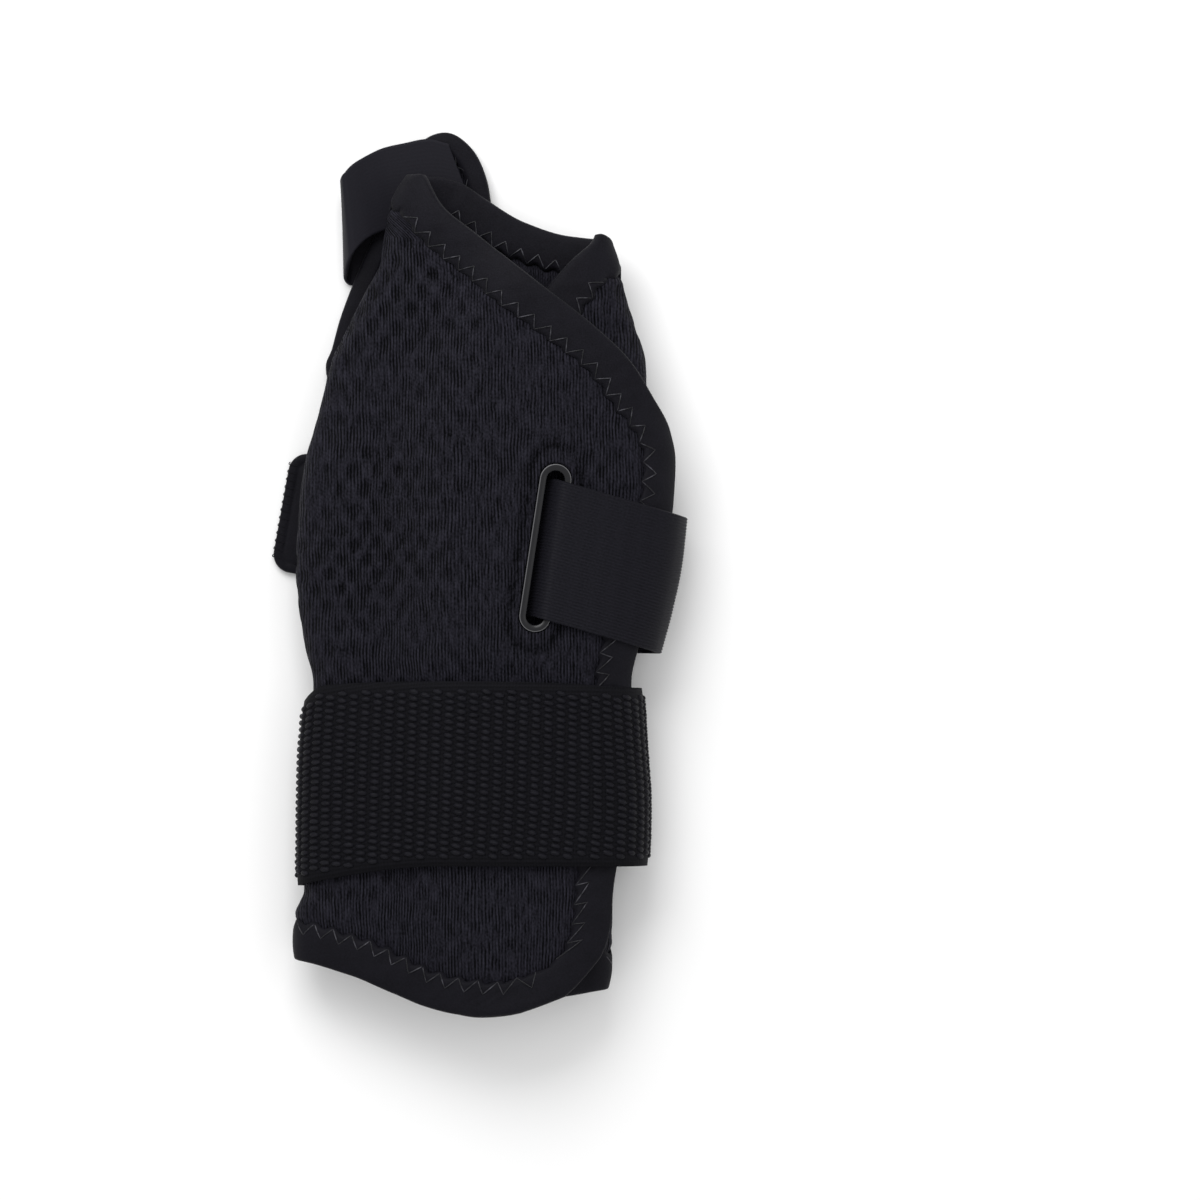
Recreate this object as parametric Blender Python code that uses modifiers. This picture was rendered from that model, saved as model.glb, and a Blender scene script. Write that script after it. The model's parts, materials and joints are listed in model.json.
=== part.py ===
"""Thumb and wrist wrap lying flat on its back: one padded panel rolled into a tube, its edge
binding, a strap slot with its rim, a hand strap, a wrist strap and a thumb loop on a padded tongue.

Metres, +Z up. X runs across the wrap, Y along it towards the thumb. The wrap rests on Z = 0.
Every slice across the wrap is one closed lens. The panel starts as the underflap inside the front,
turns round the right fold, runs along the back, turns round the left fold and ends as the front flap.
"""

import math

import bmesh
import bpy
import numpy as np

# Driving sizes of the panel
BODY_LENGTH = 0.224
BODY_WIDTH = 0.100
BODY_LOW_END = -0.1186
PANEL_WALL = 0.0032
HEM_WALL = 0.0014
BACK_DEPTH = 0.0060
ARCH_HEIGHT = 0.0095
FRONT_ROUNDNESS = 2.3
BACK_ROUNDNESS = 3.0
BACK_FLATTENING = 1.06
FLAP_EASE = 0.024
FLAP_EDGE_REACH = 0.0013
FLAP_EDGE_LIFT = 0.0018

# Edge binding
BINDING_DEPTH = 0.0095
BINDING_TAPE = 0.00055
BINDING_EASE = 0.00045
HEM_RUN_OUT = 0.0060

# Slot and its rim
SLOT_LENGTH = 0.0414
SLOT_WIDTH = 0.0048
SLOT_TILT = math.radians(8.6)
RIM_BARREL = 0.0008
RIM_FLANGE = 0.0010
RIM_HALF_HEIGHT = 0.0019
RIM_FLANGE_WALL = 0.0006

# Straps
HAND_STRAP_WIDTH = 0.0370
HAND_STRAP_WALL = 0.0015
HAND_STRAP_TAIL = 0.0140
HAND_STRAP_FRONT_SLOPE = math.radians(16.0)
HAND_STRAP_BACK_SLOPE = math.radians(10.2)
HAND_STRAP_FOLD_SLACK = 0.0024
HAND_STRAP_SHOULDER = 0.55
HAND_STRAP_TUCK = -1.15
TAB_LENGTH = 0.0420
TAB_WIDTH = 0.0325
TAB_WALL = 0.0022
TAB_CORNER = 0.0050
WRIST_WEBBING_WALL = 0.0019
THUMB_STRAP_WALL = 0.0012
THUMB_LOOP_ARCH = 0.0050

# Tongue behind the wrap, inside the thumb loop
TONGUE_WALL = 0.0026
TONGUE_BINDING_DEPTH = 0.0045

# Clearance between pieces that touch
GAP = 0.0003

# Sizes that follow from the ones above
BINDING_MID = HEM_WALL / 2 + BINDING_EASE + BINDING_TAPE / 2
BINDING_HALF = BINDING_MID + BINDING_TAPE / 2
WRIST_STACK = 2 * (WRIST_WEBBING_WALL + GAP)
HAND_STACK = TAB_WALL + HAND_STRAP_WALL + 2 * GAP
BODY_REST = max(WRIST_STACK, HAND_STACK)
TONGUE_MID = THUMB_STRAP_WALL + GAP + BINDING_HALF
THUMB_FRONT_MID = TONGUE_MID + BINDING_HALF + GAP + THUMB_STRAP_WALL / 2
THUMB_STACK = THUMB_FRONT_MID + THUMB_STRAP_WALL / 2 + GAP + BINDING_HALF - PANEL_WALL / 2
THUMB_RISE = max(THUMB_STACK - BODY_REST, 0.0)
RIM_OVER_PANEL = max(RIM_HALF_HEIGHT - PANEL_WALL / 2, 0.0)
SLOT_LAYER_GAP = HAND_STRAP_WALL + RIM_OVER_PANEL + 4 * GAP
HEM_LAYER_GAP = BINDING_HALF - PANEL_WALL / 2 + 2 * GAP

# Mesh fineness
UNDERFLAP_COLUMNS = 6
BACK_COLUMNS = 13
FRONT_COLUMNS = 13
PANEL_ROWS = 17
HEM_LINES = 3
MOST_HEM_SHARE = 0.8
SLICE_SAMPLES = 64
STRAP_ROWS = 4


def smooth(knots, values, at):
    """A curve through the values that never overshoots them."""
    knots = np.asarray(knots, float)
    values = np.asarray(values, float)
    step = np.diff(knots)
    slope = np.diff(values) / step
    tangent = np.zeros(len(knots))
    tangent[0] = slope[0]
    tangent[-1] = slope[-1]
    same_way = slope[:-1] * slope[1:] > 0
    weight_a = 2 * step[1:] + step[:-1]
    weight_b = step[1:] + 2 * step[:-1]
    safe_a = np.where(same_way, slope[:-1], 1.0)
    safe_b = np.where(same_way, slope[1:], 1.0)
    mean = (weight_a + weight_b) / (weight_a / safe_a + weight_b / safe_b)
    tangent[1:-1] = np.where(same_way, mean, 0.0)
    at = np.clip(at, knots[0], knots[-1])
    i = np.clip(np.searchsorted(knots, at, side="right") - 1, 0, len(step) - 1)
    s = (at - knots[i]) / step[i]
    rest = 1 - s
    start = (1 + 2 * s) * rest**2 * values[i] + s * rest**2 * step[i] * tangent[i]
    end = s**2 * (3 - 2 * s) * values[i + 1] - s**2 * rest * step[i] * tangent[i + 1]
    return start + end


def ease(value):
    """0 to 1 with level ends."""
    value = np.clip(value, 0.0, 1.0)
    return value * value * (3 - 2 * value)


class Table:
    """Rows of shares with named columns, read as smooth curves over the first column."""

    def __init__(self, columns, rows):
        rows = sorted(rows)
        self.columns = {name: [row[k] for row in rows] for k, name in enumerate(columns)}
        self.knots = self.columns[columns[0]]

    def __call__(self, name, at):
        return smooth(self.knots, self.columns[name], at)


# Slices across the wrap. "up" is a share of BODY_LENGTH from the lower end, "left" to "under_edge" are
# shares of BODY_WIDTH from the middle, "arch" is a share of ARCH_HEIGHT, "rise" of THUMB_RISE and
# "loose" of the way from HEM_LAYER_GAP to SLOT_LAYER_GAP.
SLICES = Table(
    ("up", "left", "right", "flap_edge", "under_edge", "arch", "rise", "loose"),
    (
        (0.000, -0.472, 0.340, 0.135, 0.140, 0.80, 0, 0.0),
        (0.030, -0.481, 0.346, 0.240, 0.130, 0.84, 0, 0.0),
        (0.054, -0.491, 0.354, 0.292, 0.118, 0.88, 0, 0.0),
        (0.084, -0.497, 0.356, 0.340, 0.104, 0.92, 0, 0.0),
        (0.119, -0.494, 0.357, 0.356, 0.090, 0.96, 0, 0.0),
        (0.148, -0.467, 0.358, 0.360, 0.080, 0.98, 0, 0.0),
        (0.281, -0.464, 0.383, 0.405, 0.050, 1.00, 0, 0.0),
        (0.402, -0.448, 0.384, 0.408, 0.040, 1.00, 0, 0.2),
        (0.442, -0.467, 0.400, 0.427, 0.035, 1.00, 0, 0.8),
        (0.534, -0.489, 0.446, 0.486, 0.025, 1.00, 0, 1.0),
        (0.610, -0.481, 0.464, 0.518, 0.022, 1.00, 0, 1.0),
        (0.663, -0.467, 0.467, 0.524, 0.026, 1.00, 0, 1.0),
        (0.698, -0.446, 0.459, 0.510, 0.032, 1.00, 0.06, 0.9),
        (0.741, -0.421, 0.448, 0.462, 0.050, 1.00, 0.38, 0.6),
        (0.778, -0.402, 0.446, 0.410, 0.074, 0.98, 0.66, 0.3),
        (0.820, -0.356, 0.421, 0.313, 0.130, 0.94, 0.88, 0.1),
        (0.864, -0.305, 0.392, 0.186, 0.189, 0.88, 1, 0.0),
        (0.896, -0.267, 0.375, 0.095, 0.248, 0.82, 1, 0.0),
        (0.930, -0.254, 0.356, 0.000, 0.321, 0.76, 1, 0.0),
        (0.963, -0.232, 0.356, -0.089, 0.330, 0.70, 1, 0.0),
        (1.000, -0.181, 0.356, -0.135, 0.330, 0.62, 1, 0.0),
    ),
)

# Lower and upper ends of the panel, as shares of BODY_LENGTH, along its own width: 0 is the
# underflap's free edge, 1 the right fold, 2 the left fold and 3 the front flap's free edge.
PANEL_ENDS = Table(
    ("across", "low", "high"),
    (
        (0.00, 0.040, 0.930),
        (0.30, 0.028, 0.929),
        (1.00, 0.036, 0.924),
        (1.20, 0.030, 0.929),
        (1.40, 0.033, 0.946),
        (1.60, 0.041, 0.975),
        (1.75, 0.050, 0.994),
        (1.88, 0.061, 1.000),
        (2.00, 0.071, 1.000),
        (2.20, 0.057, 1.000),
        (2.35, 0.038, 1.000),
        (2.50, 0.019, 1.000),
        (2.65, 0.005, 1.000),
        (2.78, 0.000, 1.000),
        (2.90, 0.009, 1.000),
        (3.00, 0.030, 1.000),
    ),
)

# The slot's middle and the hand strap's route, as shares of BODY_WIDTH and BODY_LENGTH.
SLOT_ACROSS = 0.178
SLOT_UP = 0.559
STRAP_FOLD_UP = 0.520
TAB_END_ACROSS = -0.530

# Wrist strap edges round its turn. "turn" is in half turns: 0 the right fold, 1 the left fold.
WRIST_EDGES = Table(
    ("turn", "low", "high"),
    (
        (-0.55, 0.166, 0.386),
        (0.00, 0.180, 0.392),
        (0.50, 0.182, 0.401),
        (0.85, 0.163, 0.396),
        (1.00, 0.156, 0.374),
        (1.20, 0.154, 0.366),
        (1.50, 0.156, 0.372),
        (1.85, 0.166, 0.382),
    ),
)
WRIST_START = -0.55
WRIST_DROP = 1.10
WRIST_DROPPED = 1.30
WRIST_END = 1.84
WRIST_STATIONS = 60

# Thumb loop: its two edges from the sewn end over the front, round the left and back behind the tongue.
# "high_x" and "low_x" are shares of BODY_WIDTH, "high_up" and "low_up" of BODY_LENGTH, "lift" runs
# from 0 behind the tongue to 1 in front of it and more where the loop arches.
THUMB_LOOP = Table(
    ("along", "high_x", "high_up", "low_x", "low_up", "lift", "arch"),
    (
        (0.00, -0.084, 1.045, 0.005, 0.941, 1, 0),
        (0.08, -0.140, 1.051, -0.068, 0.943, 1, 0),
        (0.16, -0.202, 1.046, -0.135, 0.946, 1, 0),
        (0.24, -0.259, 1.040, -0.202, 0.946, 1, 0.10),
        (0.32, -0.308, 1.029, -0.259, 0.940, 1, 0.45),
        (0.39, -0.343, 1.018, -0.308, 0.928, 1, 0.85),
        (0.45, -0.362, 1.008, -0.338, 0.912, 1, 1.00),
        (0.51, -0.369, 1.002, -0.354, 0.896, 1, 0.45),
        (0.57, -0.366, 0.993, -0.362, 0.883, 0.42, 0),
        (0.63, -0.346, 0.985, -0.345, 0.876, 0.03, 0),
        (0.70, -0.284, 0.990, -0.270, 0.878, 0, 0),
        (0.84, -0.202, 1.007, -0.184, 0.894, 0, 0),
        (1.00, -0.108, 1.023, -0.086, 0.914, 0, 0),
    ),
)
THUMB_STATIONS = 40

# Outline of the tongue as shares of BODY_WIDTH and BODY_LENGTH, clockwise from its tip.
TONGUE_OUTLINE = (
    (-0.086, 1.059),
    (-0.020, 1.042),
    (0.022, 1.012),
    (0.040, 0.975),
    (0.044, 0.925),
    (0.030, 0.870),
    (-0.010, 0.815),
    (-0.080, 0.773),
    (-0.190, 0.749),
    (-0.310, 0.746),
    (-0.388, 0.757),
    (-0.405, 0.778),
    (-0.389, 0.798),
    (-0.367, 0.834),
    (-0.334, 0.874),
    (-0.292, 0.918),
    (-0.246, 0.962),
    (-0.196, 1.010),
    (-0.150, 1.045),
)
TONGUE_STATIONS = 56


def fold_line(up, angle):
    """Places and outward directions on the slice's lens. Angle 0 is the right fold, pi the left."""
    left = SLICES("left", up) * BODY_WIDTH + PANEL_WALL / 2
    right = SLICES("right", up) * BODY_WIDTH - PANEL_WALL / 2
    half = (right - left) / 2
    low = BODY_REST + THUMB_RISE * SLICES("rise", up) + PANEL_WALL / 2
    cosine = np.cos(angle)
    sine = np.sin(angle)
    upper = sine >= 0
    power = np.where(upper, FRONT_ROUNDNESS, BACK_ROUNDNESS)
    reach = np.sign(cosine) * np.abs(cosine) ** (2 / power)
    height = np.abs(sine) ** (2 / power)
    depth = np.where(upper, ARCH_HEIGHT * SLICES("arch", up), BACK_DEPTH)
    flat = np.where(upper, height, np.minimum(height * BACK_FLATTENING, 1.0))
    x = (left + right) / 2 + half * reach
    z = low + BACK_DEPTH + np.where(upper, 1.0, -1.0) * depth * flat
    out_x = np.sign(reach) * np.abs(reach) ** (power - 1) / half
    out_z = np.where(upper, 1.0, -1.0) * height ** (power - 1) / depth
    size = np.hypot(out_x, out_z)
    return x, z, out_x / size, out_z / size


def angle_at(up, x):
    """The upper angle at which the lens reaches x."""
    left = SLICES("left", up) * BODY_WIDTH + PANEL_WALL / 2
    right = SLICES("right", up) * BODY_WIDTH - PANEL_WALL / 2
    reach = np.clip((2 * x - left - right) / (right - left), -1.0, 1.0)
    return np.arccos(np.sign(reach) * np.abs(reach) ** (FRONT_ROUNDNESS / 2))


def full_lift(up):
    """How far the front flap stands off the lens where it lies over the underflap."""
    loose = SLICES("loose", up)
    return PANEL_WALL + HEM_LAYER_GAP + loose * (SLOT_LAYER_GAP - HEM_LAYER_GAP)


def flap_lift(up, x):
    """The front flap's stand-off, easing in before the underflap's edge and again before its own."""
    over = SLICES("under_edge", up) * BODY_WIDTH - 2 * PANEL_WALL
    edge = SLICES("flap_edge", up) * BODY_WIDTH
    lift = full_lift(up) * ease((x - over + FLAP_EASE) / FLAP_EASE)
    return lift + FLAP_EDGE_LIFT * ease((x - edge + FLAP_EASE) / FLAP_EASE)


def front_line(up, angle, out):
    """Places of the front flap's surface, moved out by a distance."""
    x, z, out_x, out_z = fold_line(up, angle)
    away = flap_lift(up, x) + out
    return x + out_x * away, z + out_z * away


def flap_end_angle(up):
    """The angle at which the front flap reaches its free edge."""
    goal = SLICES("flap_edge", up) * BODY_WIDTH - FLAP_EDGE_REACH
    angles = np.linspace(math.pi, 0.02, 4 * SLICE_SAMPLES)
    x, _ = front_line(up, angles, 0.0)
    return float(np.interp(goal, np.maximum.accumulate(x), angles))


def slice_places(up):
    """The panel's middle line at one height, as three runs of (x, z), each a row of samples."""
    share = np.linspace(0.0, 1.0, SLICE_SAMPLES)
    under_end = float(angle_at(up, SLICES("under_edge", up) * BODY_WIDTH))
    under = fold_line(up, under_end * (1 - share))[:2]
    back = fold_line(up, -math.pi * share)[:2]
    front = front_line(up, math.pi + (flap_end_angle(up) - math.pi) * share, 0.0)
    return under, back, front


def panel_point(across, along):
    """A point on the panel's middle surface. across runs from 0 to 3, along from 0 to 1."""
    low = PANEL_ENDS("low", across)
    high = PANEL_ENDS("high", across)
    up = float(low + (high - low) * along)
    run = min(int(across), 2)
    x, z = slice_places(up)[run]
    length = np.concatenate([[0.0], np.cumsum(np.hypot(np.diff(x), np.diff(z)))])
    goal = (across - run) * length[-1]
    y = BODY_LOW_END + up * BODY_LENGTH
    return np.array([np.interp(goal, length, x), y, np.interp(goal, length, z)])


def unit(vector):
    return vector / np.linalg.norm(vector)


def panel_frame(across, along):
    """A point with the panel's two directions per unit and its outward direction."""
    step = 0.004
    a0 = max(across - step, 0.0)
    a1 = min(across + step, 3.0)
    t0 = max(along - step, 0.0)
    t1 = min(along + step, 1.0)
    by_across = (panel_point(a1, along) - panel_point(a0, along)) / (a1 - a0)
    by_along = (panel_point(across, t1) - panel_point(across, t0)) / (t1 - t0)
    return panel_point(across, along), by_across, by_along, unit(np.cross(by_along, by_across))


def hem_shares(edge_point, by_across):
    """Parameter steps from a place on the panel's edge to the binding's inner line and past it."""
    _, along_x, along_y, _ = panel_frame(*edge_point)
    crossing = np.linalg.norm(np.cross(unit(along_x), unit(along_y)))
    per_unit = np.linalg.norm(along_x if by_across else along_y) * max(crossing, 0.3)
    share = np.array([0.0, BINDING_DEPTH, BINDING_DEPTH + HEM_RUN_OUT / 3]) / per_unit
    return share * min(1.0, MOST_HEM_SHARE / share[-1])


def cosine_steps(start, end, count):
    return start + (end - start) * (1 - np.cos(np.linspace(0.0, math.pi, count + 1))) / 2


def quarter_steps(start, end, count):
    """Steps that are small at the start and grow."""
    return start + (end - start) * (1 - np.cos(np.linspace(0.0, math.pi / 2, count + 1)))


def panel_across(along):
    """Places across the panel at one share along it, with a line where each hem ends."""
    near = hem_shares((0.0, along), True)
    far = hem_shares((3.0, along), True)
    under = quarter_steps(1.0, near[-1], UNDERFLAP_COLUMNS)[::-1]
    back = cosine_steps(1.0, 2.0, BACK_COLUMNS)
    front = quarter_steps(2.0, 3.0 - far[-1], FRONT_COLUMNS)
    return np.concatenate([near[:-1], under, back[1:], front[1:], 3.0 - far[-2::-1]])


def panel_along(across):
    """Places along the panel at one place across it, with a line where each hem ends."""
    low = hem_shares((across, 0.0), False)
    high = hem_shares((across, 1.0), False)
    middle = np.linspace(low[-1], 1.0 - high[-1], PANEL_ROWS + 1)
    return np.concatenate([low[:-1], middle, 1.0 - high[-2::-1]])


def panel_places():
    """The panel's grid of (across, along): its lines are settled on the edges and eased between them."""
    count = len(panel_along(1.5))
    level = np.linspace(0.0, 1.0, count)
    for _ in range(2):
        columns = np.array([panel_across(share) for share in level])
        rows = np.array([[panel_along(a)[i] for a in columns[i]] for i in range(count)])
        level = rows.mean(axis=1)
        level[0] = 0.0
        level[-1] = 1.0
    return columns, rows


def finish(name, colour, roughness):
    material = bpy.data.materials.new(name)
    material.use_nodes = True
    shader = material.node_tree.nodes["Principled BSDF"]
    shader.inputs["Base Color"].default_value = (*colour, 1.0)
    shader.inputs["Roughness"].default_value = roughness
    shader.inputs["Metallic"].default_value = 0.0
    material.diffuse_color = (*colour, 1.0)
    return material


def add_mesh(name, points, faces, collection, material):
    mesh = bpy.data.meshes.new(name)
    mesh.from_pydata([tuple(map(float, p)) for p in points], [], faces)
    mesh.materials.append(material)
    mesh.shade_smooth()
    obj = bpy.data.objects.new(name, mesh)
    collection.objects.link(obj)
    return obj


def halves(points, i, j, k, m):
    """The four-sided cell i, j, k, m as two triangles, cut along its shorter diagonal."""
    if np.linalg.norm(points[i] - points[k]) <= np.linalg.norm(points[j] - points[m]):
        return [(i, j, k), (i, k, m)]
    return [(i, j, m), (j, k, m)]


def add_loft(name, grid, collection, material, closed=False):
    """An open surface through rows of points. A closed one joins its last row to its first."""
    grid = np.asarray(grid)
    rows, count = grid.shape[:2]
    points = grid.reshape(-1, 3)
    last = rows if closed else rows - 1
    faces = []
    for i in range(last):
        near = i * count
        far = (i + 1) % rows * count
        for j in range(count - 1):
            faces += halves(points, near + j, near + j + 1, far + j + 1, far + j)
    return add_mesh(name, points, faces, collection, material)


def add_rings(name, rings, collection, material, capped=True):
    """A solid through closed rings: capped at both ends, or with its last ring joined to its first."""
    rings = np.asarray(rings)
    rows, count = rings.shape[:2]
    last = rows - 1 if capped else rows
    faces = []
    for i in range(last):
        near = i * count
        far = (i + 1) % rows * count
        for j in range(count):
            after = (j + 1) % count
            faces.append((near + j, near + after, far + after, far + j))
    if capped:
        faces.append(tuple(range(count - 1, -1, -1)))
        faces.append(tuple(range((rows - 1) * count, rows * count)))
    obj = add_mesh(name, rings.reshape(-1, 3), faces, collection, material)
    closed = bmesh.new()
    closed.from_mesh(obj.data)
    bmesh.ops.recalc_face_normals(closed, faces=closed.faces)
    closed.to_mesh(obj.data)
    closed.free()
    return obj


def thicken(obj, wall, hem_share=None, weights=None, even=True):
    """Gives an open surface its wall, thinner where a weight is low."""
    solidify = obj.modifiers.new("Wall", "SOLIDIFY")
    solidify.thickness = wall
    solidify.offset = 0.0
    solidify.use_even_offset = even and weights is None
    if weights is None:
        return
    group = obj.vertex_groups.new(name="Full wall")
    for index, weight in enumerate(weights):
        group.add([index], float(weight), "REPLACE")
    solidify.vertex_group = group.name
    solidify.thickness_vertex_group = hem_share


def closed_curve(points, count):
    """Evenly numbered places on a smooth closed curve through the points."""
    points = np.asarray(points)
    total = len(points)
    places = []
    for k in range(count):
        at = k * total / count
        i = int(at)
        s = at - i
        before, start, end, after = (points[(i + j) % total] for j in (-1, 0, 1, 2))
        bend = 2 * before - 5 * start + 4 * end - after
        turn = 3 * start - before - 3 * end + after
        places.append((2 * start + (end - before) * s + bend * s * s + turn * s**3) / 2)
    return np.array(places)


def inward(outline):
    """Unit directions into a flat clockwise outline."""
    run = np.roll(outline, -1, axis=0) - np.roll(outline, 1, axis=0)
    side = np.stack([run[:, 1], -run[:, 0]], axis=1)
    return side / np.linalg.norm(side, axis=1, keepdims=True)


def at_height(outline, height):
    return np.column_stack([outline, np.full(len(outline), height)])


def long_oval(length, radius, per_end):
    """A flat outline with round ends, its length along Y."""
    straight = max(length / 2 - radius, 0.0)
    angles = np.linspace(0.0, math.pi, per_end)
    top = np.column_stack([radius * np.cos(angles), straight + radius * np.sin(angles)])
    return np.concatenate([top, -top])


def slot_frame():
    """The slot's middle on the front flap, with its short, long and outward directions."""
    x = SLOT_ACROSS * BODY_WIDTH
    step = 0.25 * SLOT_LENGTH

    def place(dx, dy):
        up = SLOT_UP + dy / BODY_LENGTH
        return np.array([x + dx, BODY_LOW_END + up * BODY_LENGTH, front_height(x + dx, up, 0.0)])

    by_x = place(SLOT_WIDTH / 2, 0.0) - place(-SLOT_WIDTH / 2, 0.0)
    by_y = place(0.0, step) - place(0.0, -step)
    out = unit(np.cross(by_x, by_y))
    lean = np.array([math.sin(SLOT_TILT), math.cos(SLOT_TILT), 0.0])
    long_way = unit(lean - out * lean.dot(out))
    return place(0.0, 0.0), np.cross(long_way, out), long_way, out


def front_height(x, up, out):
    """Height of the front flap's surface at x, moved out by a distance."""
    angles = np.linspace(math.pi, 0.02, 2 * SLICE_SAMPLES)
    xs, zs = front_line(up, angles, out)
    return float(np.interp(x, np.maximum.accumulate(xs), zs))


def placed(frame, flat_points, height):
    """Flat points set on a frame at a height along its outward direction."""
    middle, short_way, long_way, out = frame
    return np.array([middle + short_way * p[0] + long_way * p[1] + out * height for p in flat_points])


def slot_oval(margin, per_end=9):
    """The slot's outline grown by a margin."""
    return long_oval(SLOT_LENGTH + 2 * margin, SLOT_WIDTH / 2 + margin, per_end)


def panel_grid():
    columns, rows = panel_places()
    return np.array([[panel_point(a, t) for a, t in zip(*pair)] for pair in zip(columns, rows)])


def build_panel(grid, parts, cutters, material):
    full = np.zeros(grid.shape[:2])
    full[HEM_LINES:-HEM_LINES, HEM_LINES:-HEM_LINES] = 1.0
    panel = add_loft("body_panel", grid, parts, material)
    thicken(panel, PANEL_WALL, HEM_WALL / PANEL_WALL, full.reshape(-1))

    frame = slot_frame()
    reach = PANEL_WALL / 2 + HEM_LAYER_GAP
    hole = RIM_BARREL + GAP
    recess = RIM_BARREL + RIM_FLANGE + GAP
    seat = RIM_HALF_HEIGHT - RIM_FLANGE_WALL - GAP
    levels = ((recess, -reach), (recess, -seat), (hole, -seat))
    levels += tuple((margin, -height) for margin, height in levels[::-1])
    rings = [placed(frame, slot_oval(margin), height) for margin, height in levels]
    cutter = add_rings("slot_cutter", rings, cutters, material)
    cutter.hide_render = True
    cutter.display_type = "WIRE"
    cut = panel.modifiers.new("Slot", "BOOLEAN")
    cut.operation = "DIFFERENCE"
    cut.solver = "EXACT"
    cut.object = cutter
    return panel


def build_panel_binding(grid, panel, parts, material):
    """Tape folded over the panel's whole edge: its outer face, its turn and its inner face."""
    rows, columns = grid.shape[:2]
    index = np.arange(rows * columns).reshape(rows, columns)
    flat = grid.reshape(-1, 3)
    faces = []
    for i in range(rows - 1):
        for j in range(columns - 1):
            if 0 < i < rows - 2 and 0 < j < columns - 2:
                continue
            corners = (index[i, j], index[i, j + 1], index[i + 1, j + 1], index[i + 1, j])
            faces += halves(flat, *corners)
    around = [(0, j) for j in range(columns - 1)] + [(i, columns - 1) for i in range(rows - 1)]
    around += [(rows - 1, j) for j in range(columns - 1, 0, -1)] + [(i, 0) for i in range(rows - 1, 0, -1)]
    out = np.array([normal.vector for normal in panel.data.vertex_normals])
    total = len(flat)
    edge = np.array([index[place] for place in around])
    run = np.roll(flat[edge], -1, axis=0) - np.roll(flat[edge], 1, axis=0)
    away = np.cross(run, out[edge])
    away /= np.linalg.norm(away, axis=1, keepdims=True)
    inside = np.mean(flat[edge], axis=0)
    if np.sum(away[0] * (inside - flat[edge[0]])) > 0:
        away = -away
    turn = flat[edge] + away * (BINDING_EASE + BINDING_TAPE / 2)
    points = np.concatenate([flat + out * BINDING_MID, flat - out * BINDING_MID])
    points = np.concatenate([points, turn + out[edge] * BINDING_MID / 2, turn - out[edge] * BINDING_MID / 2])
    inner = [tuple(k + total for k in face[::-1]) for face in faces]
    count = len(edge)
    rim = 2 * total
    for k in range(count):
        n = (k + 1) % count
        faces.append((edge[k], rim + k, rim + n, edge[n]))
        faces.append((rim + k, rim + count + k, rim + count + n, rim + n))
        faces.append((rim + count + k, total + edge[k], total + edge[n], rim + count + n))
    binding = add_mesh("panel_binding", points, [tuple(map(int, f)) for f in faces + inner], parts, material)
    shape = bmesh.new()
    shape.from_mesh(binding.data)
    loose = [v for v in shape.verts if not v.link_faces]
    bmesh.ops.delete(shape, geom=loose, context="VERTS")
    bmesh.ops.recalc_face_normals(shape, faces=shape.faces)
    shape.to_mesh(binding.data)
    shape.free()
    thicken(binding, BINDING_TAPE, even=False)
    return binding


def build_slot_rim(parts, material):
    barrel = RIM_BARREL
    flange = RIM_BARREL + RIM_FLANGE
    top = RIM_HALF_HEIGHT
    seat = RIM_HALF_HEIGHT - RIM_FLANGE_WALL
    profile = ((0.0, -top), (flange, -top), (flange, -seat), (barrel, -seat))
    profile += ((barrel, seat), (flange, seat), (flange, top), (0.0, top))
    frame = slot_frame()
    rings = [placed(frame, slot_oval(margin), height) for margin, height in profile]
    return add_rings("slot_rim", rings, parts, material, capped=False)


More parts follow.
